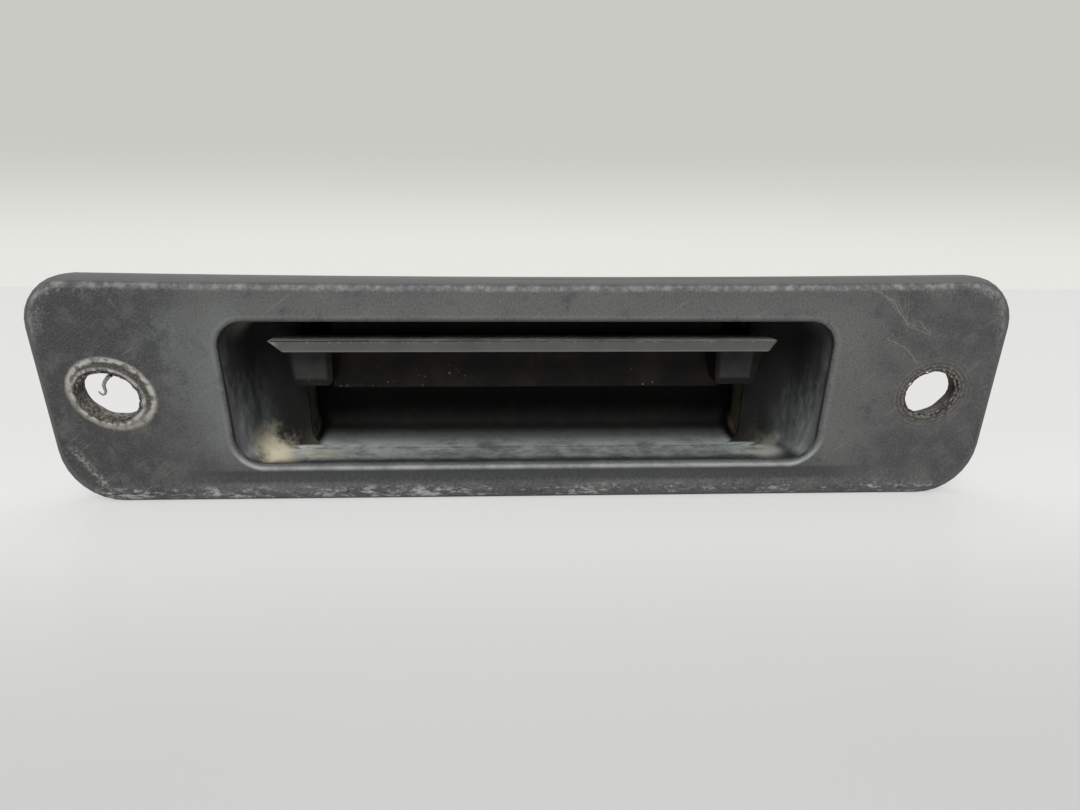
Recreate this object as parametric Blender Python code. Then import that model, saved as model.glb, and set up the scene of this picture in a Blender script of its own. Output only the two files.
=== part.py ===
# Tailgate handle: a bezel with a finger cup, the pull lever that hangs in it, and the hinge and
# release parts behind it. X runs along the handle, Y from its front face to its back, and Z up
# from its lower edge. Heights and depths below are measured from that edge and that face.

from math import asin, atan, cos, pi, radians, sin, sqrt, tan

import bmesh
import bpy
from mathutils import Matrix, Vector

MM = 0.001

# Fits
FIT = 0.3 * MM  # between a piece and what carries it
RUNNING_GAP = 0.8 * MM  # around what swings

# Plate and its rolled rim
PLATE_TOP_WIDTH = 222.3 * MM
PLATE_BOTTOM_WIDTH = 210.3 * MM
PLATE_HEIGHT = 51.8 * MM
PLATE_CORNER = 13.8 * MM
PLATE_TOP_CORNER = 10.5 * MM
PLATE_THICKNESS = 3.0 * MM
TOP_EDGE_DIP = 0.75 * MM  # how far the middle of the top edge has sunk
BOTTOM_EDGE_RISE = 0.3 * MM
RIM_BAND = 3.8 * MM
RIM_FALL = 2.0 * MM
RIM_DEPTH = 5.0 * MM
RIM_WALL = 2.0 * MM

# Finger opening and the cup behind it
OPENING_TOP_WIDTH = 138.8 * MM
OPENING_BOTTOM_WIDTH = 133.0 * MM
OPENING_LOW = 9.0 * MM
OPENING_TOP_MARGIN = 10.3 * MM  # from the plate's upper edge
OPENING_CORNER = 6.0 * MM
OPENING_EDGE = 1.3 * MM
CUP_WALL = 2.3 * MM
SIDE_DRAFT = radians(16)
LEDGE_DEPTH = 16.5 * MM
LEDGE_FILLET = 6.0 * MM
FLOOR_DROP = 1.7 * MM  # from the opening's lower edge to the floor
BEAD_DEPTH = 2.1 * MM  # from the crest of that edge back to the floor
FLOOR_STEP = 0.3 * MM  # where the floor passes the ledge
LEDGE_HEAD = 6.2 * MM  # the ledge's width at the opening's upper edge, and at its lower edge
LEDGE_FOOT = 4.6 * MM
POCKET_RUN = 12.0 * MM  # the pocket's depth behind the ledge
POCKET_CORNER = 5.0 * MM
POCKET_TOP_CORNER = 2.5 * MM
FLOOR_CURVE = 8.5 * MM
BAY_RISE = 2.1 * MM  # of the ceiling over the lever, above the opening

# Rough holes drilled through the ends: half sizes at the face and at the neck, and the tilt
HOLE_DROP = 0.9 * MM  # below the plate's middle
HOLE_NECK_DEPTH = 2.2 * MM
HOLE_PAD_RADIUS = 9.5 * MM
HOLE_PAD_DEPTH = 4.2 * MM
LEFT_HOLE = {
    "side": -1,
    "margin": 14.6 * MM,
    "face": (7.4 * MM, 5.7 * MM),
    "neck": (6.9 * MM, 4.5 * MM),
    "tilt": radians(-20),
}
RIGHT_HOLE = {
    "side": 1,
    "margin": 15.3 * MM,
    "face": (6.5 * MM, 5.3 * MM),
    "neck": (6.3 * MM, 4.9 * MM),
    "tilt": radians(25),
}

# Fixing bosses and their threaded inserts
BOSS_OUTSET = 8.1 * MM  # beyond the opening's upper corners
BOSS_EDGE = 12.0 * MM  # from the plate's upper and lower edges
BOSS_RADIUS = 5.0 * MM
BOSS_DEPTH = 12.0 * MM
BOSS_RIB = 1.6 * MM
BOSS_RIB_DEPTH = 8.0 * MM
INSERT_RADIUS = 3.0 * MM
INSERT_LENGTH = 7.0 * MM
THREAD_RADIUS = 2.1 * MM

# Gasket behind the plate
GASKET_WIDTH = 2.2 * MM
GASKET_THICKNESS = 3.2 * MM

# Pull lever
LIP_END_GAP = 6.2 * MM  # from its upper end to the cup's side
LIP_SLANT = 4.5 * MM  # how much shorter its underside is at each end
LIP_DROP = 5.0 * MM  # below the opening's upper edge
LIP_THICKNESS = 2.7 * MM
LIP_FRONT = 5.0 * MM
LIP_EDGE = 0.5 * MM
LEG_LAP = 0.8 * MM  # how far a leg's top covers the ledge, and how far its foot does
LEG_FOOT_LAP = 0.3 * MM
LEG_WIDTH = 8.5 * MM
LEG_GAP = 0.9 * MM  # in front of the ledge
LEG_DEPTH = 5.6 * MM
LEG_LENGTH = 11.5 * MM
LEG_CORNER = 1.4 * MM
GUSSET_DEPTH = 3.6 * MM
GUSSET_WIDTH = 2.4 * MM
GUSSET_FOOT = 0.7 * MM
PANEL_SETBACK = 5.0 * MM  # behind the legs' faces
PANEL_THICKNESS = 2.5 * MM
PANEL_LENGTH = 13.1 * MM
PANEL_START = 2.0 * MM  # from the lip's back edge to the panel's face
BRIDGE_THICKNESS = 1.8 * MM  # from the lip back to the panel
SPINE_RISE = 3.1 * MM  # of the stiffening rib in front of the shaft, over the lip

# Hinge
KNUCKLE_RADIUS = 4.2 * MM
SHAFT_RADIUS = 2.5 * MM
SHAFT_FLAT = 1.8 * MM
BUSH_WALL = 0.8 * MM
BUSH_FLANGE = 1.4 * MM
BUSH_FLANGE_RADIUS = 4.4 * MM
BUSH_OVERHANG = 0.4 * MM
HINGE_BOSS_RADIUS = 6.2 * MM
HINGE_BOSS_WALL = 3.0 * MM
CLIP_THICKNESS = 0.7 * MM
CLIP_RADIUS = 4.2 * MM
GROOVE_DEPTH = 0.6 * MM
SHAFT_TAIL = 1.2 * MM  # beyond each clip
DRIVE_PIN_RADIUS = 0.8 * MM

# Return spring
SPRING_RADIUS = 3.6 * MM
SPRING_WIRE = 0.5 * MM
SPRING_PITCH = 1.12 * MM
SPRING_TURNS = 5
SPRING_LEG = 12.0 * MM

# Rest buffers
BUFFER_SPACING = 60.0 * MM
BUFFER_DROP = 7.5 * MM  # below the hinge
BUFFER_RADIUS = 3.5 * MM
BUFFER_HEAD = 1.9 * MM
BUFFER_STEM = 1.7 * MM
STOP_RIB = 3.0 * MM

# Crank and the swivel for the release rod
CRANK_LENGTH = 18.0 * MM
CRANK_FALL = radians(6)
CRANK_THICKNESS = 2.0 * MM
CRANK_HUB = 5.5 * MM
CRANK_END = 4.2 * MM
SWIVEL_RADIUS = 4.0 * MM
SWIVEL_JOURNAL = 2.3 * MM
SWIVEL_LENGTH = 5.6 * MM
ROD_RADIUS = 1.5 * MM

# Bracket that guides the release rod
BRACKET_SHEET = 1.5 * MM
BRACKET_LEFT = 28.0 * MM
BRACKET_WIDTH = 20.0 * MM
BRACKET_DROP = 10.5 * MM  # below the opening's upper edge
BRACKET_MARGIN = 6.5 * MM  # around the guide
SHELF_HEIGHT = 2.0 * MM
PAD_RADIUS = 4.0 * MM
PAD_DEPTH = 4.0 * MM
SCREW_DROP = 7.0 * MM  # below the bracket's upper edge
SCREW_RADIUS = 1.5 * MM
SCREW_HEAD = 3.1 * MM
SCREW_HEAD_DEPTH = 2.2 * MM
SCREW_MARGIN = 5.0 * MM
GUIDE_BORE = 3.0 * MM
GUIDE_WALL = 1.3 * MM
GUIDE_FLANGE = 1.8 * MM
GUIDE_FLANGE_THICKNESS = 1.0 * MM

# Facets
CORNER_STEPS = 8
EDGE_STEPS = 5
ROUND_STEPS = 32
WIRE_STEPS = 14  # points in one turn of the spring

# Places that follow from the sizes above
OPENING_HIGH = PLATE_HEIGHT - OPENING_TOP_MARGIN
BAY_HEIGHT = OPENING_HIGH + BAY_RISE
LIP_TOP = OPENING_HIGH - LIP_DROP
LEG_LOW = LIP_TOP - LEG_LENGTH
PANEL_LOW = LIP_TOP - PANEL_LENGTH
SPINE_TOP = LIP_TOP + SPINE_RISE
HOLE_HEIGHT = PLATE_HEIGHT / 2 - HOLE_DROP
POCKET_DEPTH = LEDGE_DEPTH + POCKET_RUN
LEG_FRONT = LEDGE_DEPTH - LEG_GAP - LEG_DEPTH
PANEL_FRONT = LEG_FRONT + PANEL_SETBACK
LIP_BACK = PANEL_FRONT - PANEL_START

PLATE_SLOPE = (PLATE_TOP_WIDTH - PLATE_BOTTOM_WIDTH) / 2 / PLATE_HEIGHT
PLATE_SIDES = (PLATE_BOTTOM_WIDTH / 2, PLATE_SLOPE)
OPENING_SPAN = OPENING_HIGH - OPENING_LOW
OPENING_SLOPE = (OPENING_TOP_WIDTH - OPENING_BOTTOM_WIDTH) / 2 / OPENING_SPAN
OPENING_SIDES = (OPENING_BOTTOM_WIDTH / 2 - OPENING_SLOPE * OPENING_LOW, OPENING_SLOPE)
DRAFTED = LEDGE_DEPTH - LEDGE_FILLET - OPENING_EDGE
LEDGE_INSET = LEDGE_FILLET / cos(SIDE_DRAFT) + tan(SIDE_DRAFT) * DRAFTED
POCKET_SLOPE = OPENING_SLOPE - (LEDGE_HEAD - LEDGE_FOOT) / OPENING_SPAN
POCKET_FOOT = OPENING_BOTTOM_WIDTH / 2 - LEDGE_INSET - LEDGE_FOOT
POCKET_SIDES = (POCKET_FOOT - POCKET_SLOPE * OPENING_LOW, POCKET_SLOPE)
LEG_TOP_HALF = POCKET_SIDES[0] + POCKET_SLOPE * LIP_TOP + LEG_LAP
LEG_FOOT_HALF = POCKET_SIDES[0] + POCKET_SLOPE * LEG_LOW + LEG_FOOT_LAP
LEG_INNER_HALF = LEG_TOP_HALF - LEG_WIDTH
LIP_HALF = OPENING_SIDES[0] + OPENING_SLOPE * LIP_TOP - tan(SIDE_DRAFT) * LIP_BACK - LIP_END_GAP
FLOOR = OPENING_LOW - FLOOR_DROP
COLLAR_TOP = BAY_HEIGHT + CUP_WALL
CUP_BACK = POCKET_DEPTH + CUP_WALL
LEDGE_BACK = LEDGE_DEPTH + CUP_WALL

HINGE_DEPTH = POCKET_DEPTH - KNUCKLE_RADIUS - RUNNING_GAP
HINGE_HEIGHT = BAY_HEIGHT - KNUCKLE_RADIUS - 2 * RUNNING_GAP - FIT
BUFFER_HEIGHT = HINGE_HEIGHT - BUFFER_DROP
BRACKET_TOP = OPENING_HIGH - BRACKET_DROP
SCREW_HEIGHT = BRACKET_TOP - SCREW_DROP
HINGE = Vector((0, HINGE_DEPTH, HINGE_HEIGHT))
HINGE_WALL = POCKET_SIDES[0] + POCKET_SIDES[1] * HINGE_HEIGHT + FIT  # face that a bush flange seats on
KNUCKLE_END = HINGE_WALL - BUSH_FLANGE - 2 * FIT
KNUCKLE_START = LEG_INNER_HALF
BOSS_FACE = HINGE_WALL + HINGE_BOSS_WALL
BUSH_END = BOSS_FACE + BUSH_OVERHANG
BUSH_RADIUS = SHAFT_RADIUS + FIT + BUSH_WALL
LEFT_CLIP = -(BUSH_END + FIT)
POCKET_FLANK = POCKET_SIDES[0] + POCKET_SLOPE * (HINGE_HEIGHT - SPRING_LEG) + CUP_WALL
SPRING_START = max(BUSH_END, POCKET_FLANK) + FIT + SPRING_WIRE
SPRING_END = SPRING_START + SPRING_TURNS * SPRING_PITCH
CRANK_START = SPRING_END + SPRING_WIRE + 2 * FIT + CLIP_THICKNESS
CRANK_FACE = CRANK_START + CRANK_THICKNESS
RIGHT_CLIP = CRANK_FACE + FIT
SWIVEL = HINGE + Vector((0, CRANK_LENGTH * cos(CRANK_FALL), -CRANK_LENGTH * sin(CRANK_FALL)))
SWIVEL_START = CRANK_FACE + FIT
SWIVEL_CLIP = CRANK_START - FIT

BRACKET_FACE = CUP_BACK + PAD_DEPTH + FIT
BRACKET_BACK = BRACKET_FACE + BRACKET_SHEET
SHELF_TOP = SHELF_HEIGHT + BRACKET_SHEET
GUIDE_X = SWIVEL_START + SWIVEL_LENGTH / 2
GUIDE_RADIUS = GUIDE_BORE + GUIDE_WALL
BRACKET_REACH = SWIVEL.y + GUIDE_RADIUS + BRACKET_MARGIN


def material(name, colour, roughness, metallic=0.0):
    finish = bpy.data.materials.new(name)
    finish.use_nodes = True
    shader = finish.node_tree.nodes["Principled BSDF"]
    shader.inputs["Base Color"].default_value = (*colour, 1)
    shader.inputs["Roughness"].default_value = roughness
    shader.inputs["Metallic"].default_value = metallic
    return finish


def empty(name, location, parent=None):
    """An axis that pieces hang from."""
    axis = bpy.data.objects.new(name, None)
    axis.empty_display_size = 10 * MM
    axis.location = location
    axis.parent = parent
    bpy.context.scene.collection.objects.link(axis)
    return axis


def add_piece(name, shape, finish, axis, origin=(0, 0, 0)):
    """Names a finished shape, and hangs it from an axis that lies at origin."""
    bmesh.ops.recalc_face_normals(shape, faces=shape.faces)
    bmesh.ops.translate(shape, verts=shape.verts, vec=-Vector(origin))
    mesh = bpy.data.meshes.new(name)
    shape.to_mesh(mesh)
    shape.free()
    mesh.shade_smooth()
    mesh.set_sharp_from_angle(angle=radians(35))
    if finish:
        mesh.materials.append(finish)
    piece = bpy.data.objects.new(name, mesh)
    piece.parent = axis
    bpy.context.scene.collection.objects.link(piece)
    return piece


def combine(piece, name, operation, shape, origin=(0, 0, 0)):
    """Joins a shape to a piece, or cuts it away."""
    tool = add_piece(name, shape, None, piece.parent, origin)
    tool.hide_render = True
    tool.display_type = "WIRE"
    modifier = piece.modifiers.new(name, "BOOLEAN")
    modifier.operation = operation
    modifier.object = tool
    modifier.solver = "EXACT"


def merged(shapes):
    """One mesh of several closed shapes that don't touch."""
    whole = bmesh.new()
    for shape in shapes:
        mesh = bpy.data.meshes.new("part")
        bmesh.ops.recalc_face_normals(shape, faces=shape.faces)
        shape.to_mesh(mesh)
        shape.free()
        whole.from_mesh(mesh)
        bpy.data.meshes.remove(mesh)
    return whole


def block(x, y, z):
    """A box between pairs of limits."""
    low, high = Vector((x[0], y[0], z[0])), Vector((x[1], y[1], z[1]))
    shape = bmesh.new()
    place = Matrix.Translation((low + high) / 2) @ Matrix.Diagonal((*(high - low), 1))
    bmesh.ops.create_cube(shape, size=1, matrix=place)
    return shape


def rod(radius, start, end, steps=ROUND_STEPS):
    """A cylinder between two points."""
    start, end = Vector(start), Vector(end)
    run = end - start
    place = Matrix.Translation((start + end) / 2) @ run.to_track_quat("Z", "Y").to_matrix().to_4x4()
    shape = bmesh.new()
    bmesh.ops.create_cone(
        shape, cap_ends=True, segments=steps, radius1=radius, radius2=radius, depth=run.length, matrix=place
    )
    return shape


def prism(corners, axis, low, high):
    """An outline extruded along an axis. Its corners are pairs on the other two axes, in X, Y, Z order."""
    across = [index for index in range(3) if index != axis]
    shape = bmesh.new()
    loop = []
    for pair in corners:
        point = Vector()
        point[axis] = low
        point[across[0]], point[across[1]] = pair
        loop.append(shape.verts.new(point))
    face = shape.faces.new(loop)
    grown = bmesh.ops.extrude_face_region(shape, geom=[face])
    step = Vector()
    step[axis] = high - low
    tops = [item for item in grown["geom"] if isinstance(item, bmesh.types.BMVert)]
    bmesh.ops.translate(shape, verts=tops, vec=step)
    return shape


def turned(profile, centre, direction, closed=True):
    """A profile of (distance along the direction, radius) turned about it. Open ends lie on the axis."""
    shape = bmesh.new()
    points = [shape.verts.new((radius, 0, along)) for along, radius in profile]
    pairs = list(zip(points, points[1:]))
    if closed:
        pairs.append((points[-1], points[0]))
    edges = [shape.edges.new(pair) for pair in pairs]
    bmesh.ops.spin(
        shape,
        geom=points + edges,
        cent=(0, 0, 0),
        axis=(0, 0, 1),
        angle=2 * pi,
        steps=ROUND_STEPS,
        use_merge=True,
    )
    bmesh.ops.remove_doubles(shape, verts=shape.verts, dist=0.001 * MM)
    turn = Vector(direction).to_track_quat("Z", "Y").to_matrix().to_4x4()
    bmesh.ops.transform(shape, matrix=Matrix.Translation(centre) @ turn, verts=shape.verts)
    return shape


def loft(rings):
    """A closed skin over rings of as many points each."""
    shape = bmesh.new()
    rows = [[shape.verts.new(point) for point in ring] for ring in rings]
    for row, following in zip(rows, rows[1:]):
        for index in range(len(row)):
            shape.faces.new((row[index - 1], row[index], following[index], following[index - 1]))
    shape.faces.new(rows[0])
    shape.faces.new(rows[-1])
    return shape


def hinge_rods(radius, start, end):
    """A cylinder on the hinge's axis at each end of the handle, between two distances from the middle."""
    return merged(
        [
            rod(radius, HINGE + Vector((side * start, 0, 0)), HINGE + Vector((side * end, 0, 0)))
            for side in (-1, 1)
        ]
    )


def bevelled(shape, width, chosen=None, segments=2):
    """Rounds the edges of a shape that chosen accepts, or all of them."""
    edges = [edge for edge in shape.edges if chosen is None or chosen(edge)]
    bmesh.ops.bevel(
        shape, geom=edges, offset=width, segments=segments, profile=0.5, affect="EDGES", clamp_overlap=True
    )
    return shape


def outline(depth, sides, low, high, corner, top_corner=None, inset=0.0, dip=0.0, rise=0.0):
    """A rounded trapezoid at one depth. sides gives its half width at height 0 and how fast that grows."""
    half, slope = sides
    tilt = atan(slope)
    radii = (corner - inset, (corner if top_corner is None else top_corner) - inset)
    heights = (low + inset + radii[0], high - inset - radii[1])
    sweeps = ((-pi / 2, -tilt), (-tilt, pi / 2))
    right = []
    for radius, height, (start, end) in zip(radii, heights, sweeps):
        centre = half + slope * height - (inset + radius) * sqrt(1 + slope * slope)
        for step in range(CORNER_STEPS + 1):
            angle = start + (end - start) * step / CORNER_STEPS
            right.append((centre + radius * cos(angle), height + radius * sin(angle)))
    bottom_end, top_end = right[0], right[-1]
    bottom = [(bottom_end[0] * step / EDGE_STEPS, bottom_end[1]) for step in range(EDGE_STEPS)]
    top = [(top_end[0] * (1 - step / EDGE_STEPS), top_end[1]) for step in range(1, EDGE_STEPS + 1)]
    bottom = [(x, z + rise * (1 - (x / bottom_end[0]) ** 2)) for x, z in bottom]
    top = [(x, z - dip * (1 - (x / top_end[0]) ** 2)) for x, z in top]
    right = bottom + right + top
    left = [(-x, z) for x, z in reversed(right[1:-1])]
    return [Vector((x, depth, z)) for x, z in right + left]


def narrowed(sides, amount):
    return (sides[0] - amount, sides[1])


def floor_height(depth):
    """Height of the cup's floor, which drops behind the opening's edge."""
    if depth < OPENING_EDGE + BEAD_DEPTH:
        along = max(0.0, depth - OPENING_EDGE) / BEAD_DEPTH
        return FLOOR + FLOOR_DROP * (0.5 + 0.5 * cos(pi * along))
    return FLOOR


def ledge_arc(radius):
    """Where the cup's side turns into its ledge: pairs of depth and how much narrower the cup is there."""
    pairs = []
    steps = 6
    for step in range(steps + 1):
        angle = SIDE_DRAFT + (pi / 2 - SIDE_DRAFT) * step / steps
        pairs.append((LEDGE_DEPTH - LEDGE_FILLET + radius * sin(angle), LEDGE_INSET - radius * cos(angle)))
    return pairs


def pocket_curve(radius):
    """Depths and heights of the pocket's floor where it rises into the back wall."""
    centre_depth, centre_height = POCKET_DEPTH - FLOOR_CURVE, FLOOR + FLOOR_STEP + FLOOR_CURVE
    steps = 6
    angles = [pi / 2 * step / steps for step in range(steps + 1)]
    return [(centre_depth + radius * sin(angle), centre_height - radius * cos(angle)) for angle in angles]


def cup_rings():
    """The cup's inside, from the middle of the pocket's back wall out to the opening's edge."""
    pocket_top = OPENING_HIGH - FIT
    rings = [
        outline(depth, POCKET_SIDES, low, pocket_top, POCKET_CORNER, POCKET_TOP_CORNER)
        for depth, low in reversed(pocket_curve(FLOOR_CURVE))
    ]
    rings.append(
        outline(LEDGE_DEPTH, POCKET_SIDES, FLOOR + FLOOR_STEP, pocket_top, POCKET_CORNER, POCKET_TOP_CORNER)
    )
    for depth, narrowing in reversed(ledge_arc(LEDGE_FILLET)):
        sides = narrowed(OPENING_SIDES, narrowing)
        rings.append(outline(depth, sides, FLOOR, OPENING_HIGH, OPENING_CORNER))
    bead_steps = 4
    for step in range(bead_steps, 0, -1):
        depth = OPENING_EDGE + BEAD_DEPTH * step / bead_steps
        sides = narrowed(OPENING_SIDES, tan(SIDE_DRAFT) * (depth - OPENING_EDGE))
        rings.append(outline(depth, sides, floor_height(depth), OPENING_HIGH, OPENING_CORNER))
    edge_steps = 4
    for step in range(edge_steps, -1, -1):
        angle = pi / 2 * step / edge_steps
        inset = -OPENING_EDGE * (1 - sin(angle))
        depth = OPENING_EDGE * (1 - cos(angle))
        rings.append(outline(depth, OPENING_SIDES, OPENING_LOW, OPENING_HIGH, OPENING_CORNER, inset=inset))
    return rings


def plate_ring(depth, inset):
    corners = (PLATE_CORNER, PLATE_TOP_CORNER)
    return outline(depth, PLATE_SIDES, 0, PLATE_HEIGHT, *corners, inset, TOP_EDGE_DIP, BOTTOM_EDGE_RISE)


def rim_rings():
    """The rim, which rolls back from the plate's face, and the plate's back inside it."""
    steps = 5
    rings = []
    for step in range(steps + 1):
        angle = pi / 2 * step / steps
        rings.append(plate_ring(RIM_FALL * (1 - cos(angle)), RIM_BAND * (1 - sin(angle))))
    rings.append(plate_ring(RIM_DEPTH, 0))
    rings.append(plate_ring(RIM_DEPTH, RIM_WALL))
    rings.append(plate_ring(PLATE_THICKNESS, RIM_WALL))
    return rings


def shell_rings():
    """The cup's outside, from the plate's back to the middle of the pocket's back wall."""
    low = FLOOR - CUP_WALL
    corner = OPENING_CORNER + CUP_WALL
    root = tan(SIDE_DRAFT) * (PLATE_THICKNESS - OPENING_EDGE) - CUP_WALL
    rings = [outline(PLATE_THICKNESS, narrowed(OPENING_SIDES, root), low, COLLAR_TOP, corner)]
    for depth, narrowing in ledge_arc(LEDGE_FILLET + CUP_WALL):
        rings.append(outline(depth, narrowed(OPENING_SIDES, narrowing), low, COLLAR_TOP, corner))
    sides = narrowed(POCKET_SIDES, -CUP_WALL)
    corners = (POCKET_CORNER + CUP_WALL, POCKET_TOP_CORNER + CUP_WALL)
    top = COLLAR_TOP - FIT
    rings.append(outline(LEDGE_BACK, sides, low + FLOOR_STEP, top, *corners))
    for depth, height in pocket_curve(FLOOR_CURVE + CUP_WALL):
        rings.append(outline(depth, sides, height, top, *corners))
    return rings


def bay_cutter():
    """The room over the lever: wide where its lip rises, and as wide as the pocket behind the ledge."""
    lip = LIP_HALF + RUNNING_GAP
    inner = POCKET_SIDES[0] + POCKET_SIDES[1] * HINGE_HEIGHT - FIT
    step, back = LEDGE_DEPTH - FIT, POCKET_DEPTH - FIT
    right = [(lip, PLATE_THICKNESS), (lip, step), (inner, step), (inner, back)]
    corners = right + [(-x, y) for x, y in reversed(right)]
    return prism(corners, 2, LIP_TOP, BAY_HEIGHT)


def rough_ring(depth, centre, sizes, tilt):
    """A hand-drilled hole's edge: an ellipse that wanders."""
    points = []
    for step in range(ROUND_STEPS):
        angle = 2 * pi * step / ROUND_STEPS
        turned_by = angle - tilt
        radius = 1 / sqrt((cos(turned_by) / sizes[0]) ** 2 + (sin(turned_by) / sizes[1]) ** 2)
        radius *= 1 + 0.025 * sin(3 * angle + 0.7) + 0.015 * sin(7 * angle + 2.1)
        points.append(Vector((centre + radius * cos(angle), depth, HOLE_HEIGHT + radius * sin(angle))))
    return points


def hole_place(hole):
    """Distance of a drilled hole from the plate's middle."""
    return hole["side"] * (PLATE_SIDES[0] + PLATE_SLOPE * HOLE_HEIGHT - hole["margin"])


def drilled_hole(hole):
    """The cutter of a drilled hole, worn wider at the face than at its neck."""
    before, behind = -PLATE_THICKNESS, HOLE_PAD_DEPTH + PLATE_THICKNESS
    face, neck = hole["face"], hole["neck"]
    ahead = PLATE_THICKNESS / HOLE_NECK_DEPTH
    flare = [wide + (wide - narrow) * ahead for wide, narrow in zip(face, neck)]
    x, tilt = hole_place(hole), hole["tilt"]
    rings = [
        rough_ring(before, x, flare, tilt),
        rough_ring(HOLE_NECK_DEPTH, x, neck, tilt),
        rough_ring(behind, x, neck, tilt),
    ]
    return loft(rings)


def boss_places():
    x = OPENING_TOP_WIDTH / 2 + BOSS_OUTSET
    return [(side * x, height) for side in (-1, 1) for height in (BOSS_EDGE, PLATE_HEIGHT - BOSS_EDGE)]


def cup_wall_middle(height, depth):
    """Half width of the middle of the cup's side wall."""
    inner = OPENING_SIDES[0] + OPENING_SIDES[1] * height - tan(SIDE_DRAFT) * (depth - OPENING_EDGE)
    return inner + CUP_WALL / 2


def boss_ribs():
    """A rib from each fixing boss to the side of the cup."""
    ribs = []
    root = PLATE_THICKNESS - FIT
    for x, height in boss_places():
        side = 1 if x > 0 else -1
        near, far = (side * cup_wall_middle(height, depth) for depth in (root, BOSS_RIB_DEPTH))
        corners = [(near, root), (x, root), (x, BOSS_RIB_DEPTH), (far, BOSS_RIB_DEPTH)]
        ribs.append(prism(corners, 2, height - BOSS_RIB / 2, height + BOSS_RIB / 2))
    return merged(ribs)


def screw_places():
    near = BRACKET_LEFT + SCREW_MARGIN
    return [near, BRACKET_LEFT + BRACKET_WIDTH - SCREW_MARGIN]


def buffer_places():
    return [-BUFFER_SPACING / 2, BUFFER_SPACING / 2]


def bezel(finish, frame):
    """The one black moulding that carries everything else."""
    piece = add_piece("bezel", loft(cup_rings() + rim_rings() + shell_rings()), finish, frame)
    root = PLATE_THICKNESS - FIT
    pads = [
        rod(HOLE_PAD_RADIUS, (x, root, HOLE_HEIGHT), (x, HOLE_PAD_DEPTH, HOLE_HEIGHT))
        for x in (hole_place(LEFT_HOLE), hole_place(RIGHT_HOLE))
    ]
    combine(piece, "hole_pads", "UNION", merged(pads))
    combine(piece, "boss_ribs", "UNION", boss_ribs())
    bosses = [rod(BOSS_RADIUS, (x, root, z), (x, BOSS_DEPTH, z)) for x, z in boss_places()]
    combine(piece, "fixing_bosses", "UNION", merged(bosses))
    inner = POCKET_SIDES[0] + POCKET_SIDES[1] * (HINGE_HEIGHT - HINGE_BOSS_RADIUS) + CUP_WALL / 2
    combine(piece, "hinge_bosses", "UNION", hinge_rods(HINGE_BOSS_RADIUS, inner, BOSS_FACE))
    screw_pads = [
        rod(PAD_RADIUS, (x, CUP_BACK - FIT, SCREW_HEIGHT), (x, CUP_BACK + PAD_DEPTH, SCREW_HEIGHT))
        for x in screw_places()
    ]
    combine(piece, "screw_pads", "UNION", merged(screw_pads))

    combine(piece, "lever_bay", "DIFFERENCE", bay_cutter())
    seats = hinge_rods(BUSH_FLANGE_RADIUS + FIT, KNUCKLE_START, HINGE_WALL)
    combine(piece, "bush_seats", "DIFFERENCE", seats)
    combine(piece, "bush_bores", "DIFFERENCE", hinge_rods(BUSH_RADIUS + FIT, KNUCKLE_START, BUSH_END + FIT))
    holes = merged([drilled_hole(LEFT_HOLE), drilled_hole(RIGHT_HOLE)])
    combine(piece, "drilled_holes", "DIFFERENCE", holes)
    sockets = [
        rod(INSERT_RADIUS + FIT, (x, BOSS_DEPTH - INSERT_LENGTH - FIT, z), (x, BOSS_DEPTH + FIT, z))
        for x, z in boss_places()
    ]
    combine(piece, "insert_sockets", "DIFFERENCE", merged(sockets))
    pilot_start, pilot_end = POCKET_DEPTH + CUP_WALL / 2, CUP_BACK + PAD_DEPTH + FIT
    pilots = [
        rod(SCREW_RADIUS + FIT, (x, pilot_start, SCREW_HEIGHT), (x, pilot_end, SCREW_HEIGHT))
        for x in screw_places()
    ]
    combine(piece, "screw_pilots", "DIFFERENCE", merged(pilots))
    before, behind = POCKET_DEPTH - CUP_WALL, CUP_BACK + CUP_WALL
    stems = [
        rod(BUFFER_STEM + FIT, (x, before, BUFFER_HEIGHT), (x, behind, BUFFER_HEIGHT))
        for x in buffer_places()
    ]
    combine(piece, "buffer_holes", "DIFFERENCE", merged(stems))
    return piece


def gasket(finish, frame):
    """A foam ring in the plate's back, inside its rim."""
    front = PLATE_THICKNESS + FIT
    outer, inner = RIM_WALL + FIT, RIM_WALL + FIT + GASKET_WIDTH
    back = front + GASKET_THICKNESS
    sections = ((front, outer), (back, outer), (back, inner), (front, inner))
    shape = bmesh.new()
    rows = [[shape.verts.new(point) for point in plate_ring(*section)] for section in sections]
    for number, row in enumerate(rows):
        following = rows[(number + 1) % len(rows)]
        for index in range(len(row)):
            shape.faces.new((row[index - 1], row[index], following[index], following[index - 1]))
    return add_piece("gasket", shape, finish, frame)


def inserts(finish, frame):
    """Threaded sleeves in the fixing bosses, grooved to hold in the plastic."""
    groove = FIT
    profile = [
        (0, THREAD_RADIUS),
        (0, INSERT_RADIUS),
        (0.35 * INSERT_LENGTH, INSERT_RADIUS),
        (0.42 * INSERT_LENGTH, INSERT_RADIUS - groove),
        (0.58 * INSERT_LENGTH, INSERT_RADIUS - groove),
        (0.65 * INSERT_LENGTH, INSERT_RADIUS),
        (INSERT_LENGTH, INSERT_RADIUS),
        (INSERT_LENGTH, THREAD_RADIUS),
    ]
    names = ("insert_lower_left", "insert_upper_left", "insert_lower_right", "insert_upper_right")
    for name, (x, z) in zip(names, boss_places()):
        shape = turned(profile, (x, BOSS_DEPTH - INSERT_LENGTH, z), (0, 1, 0))
        add_piece(name, shape, finish, frame)


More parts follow.
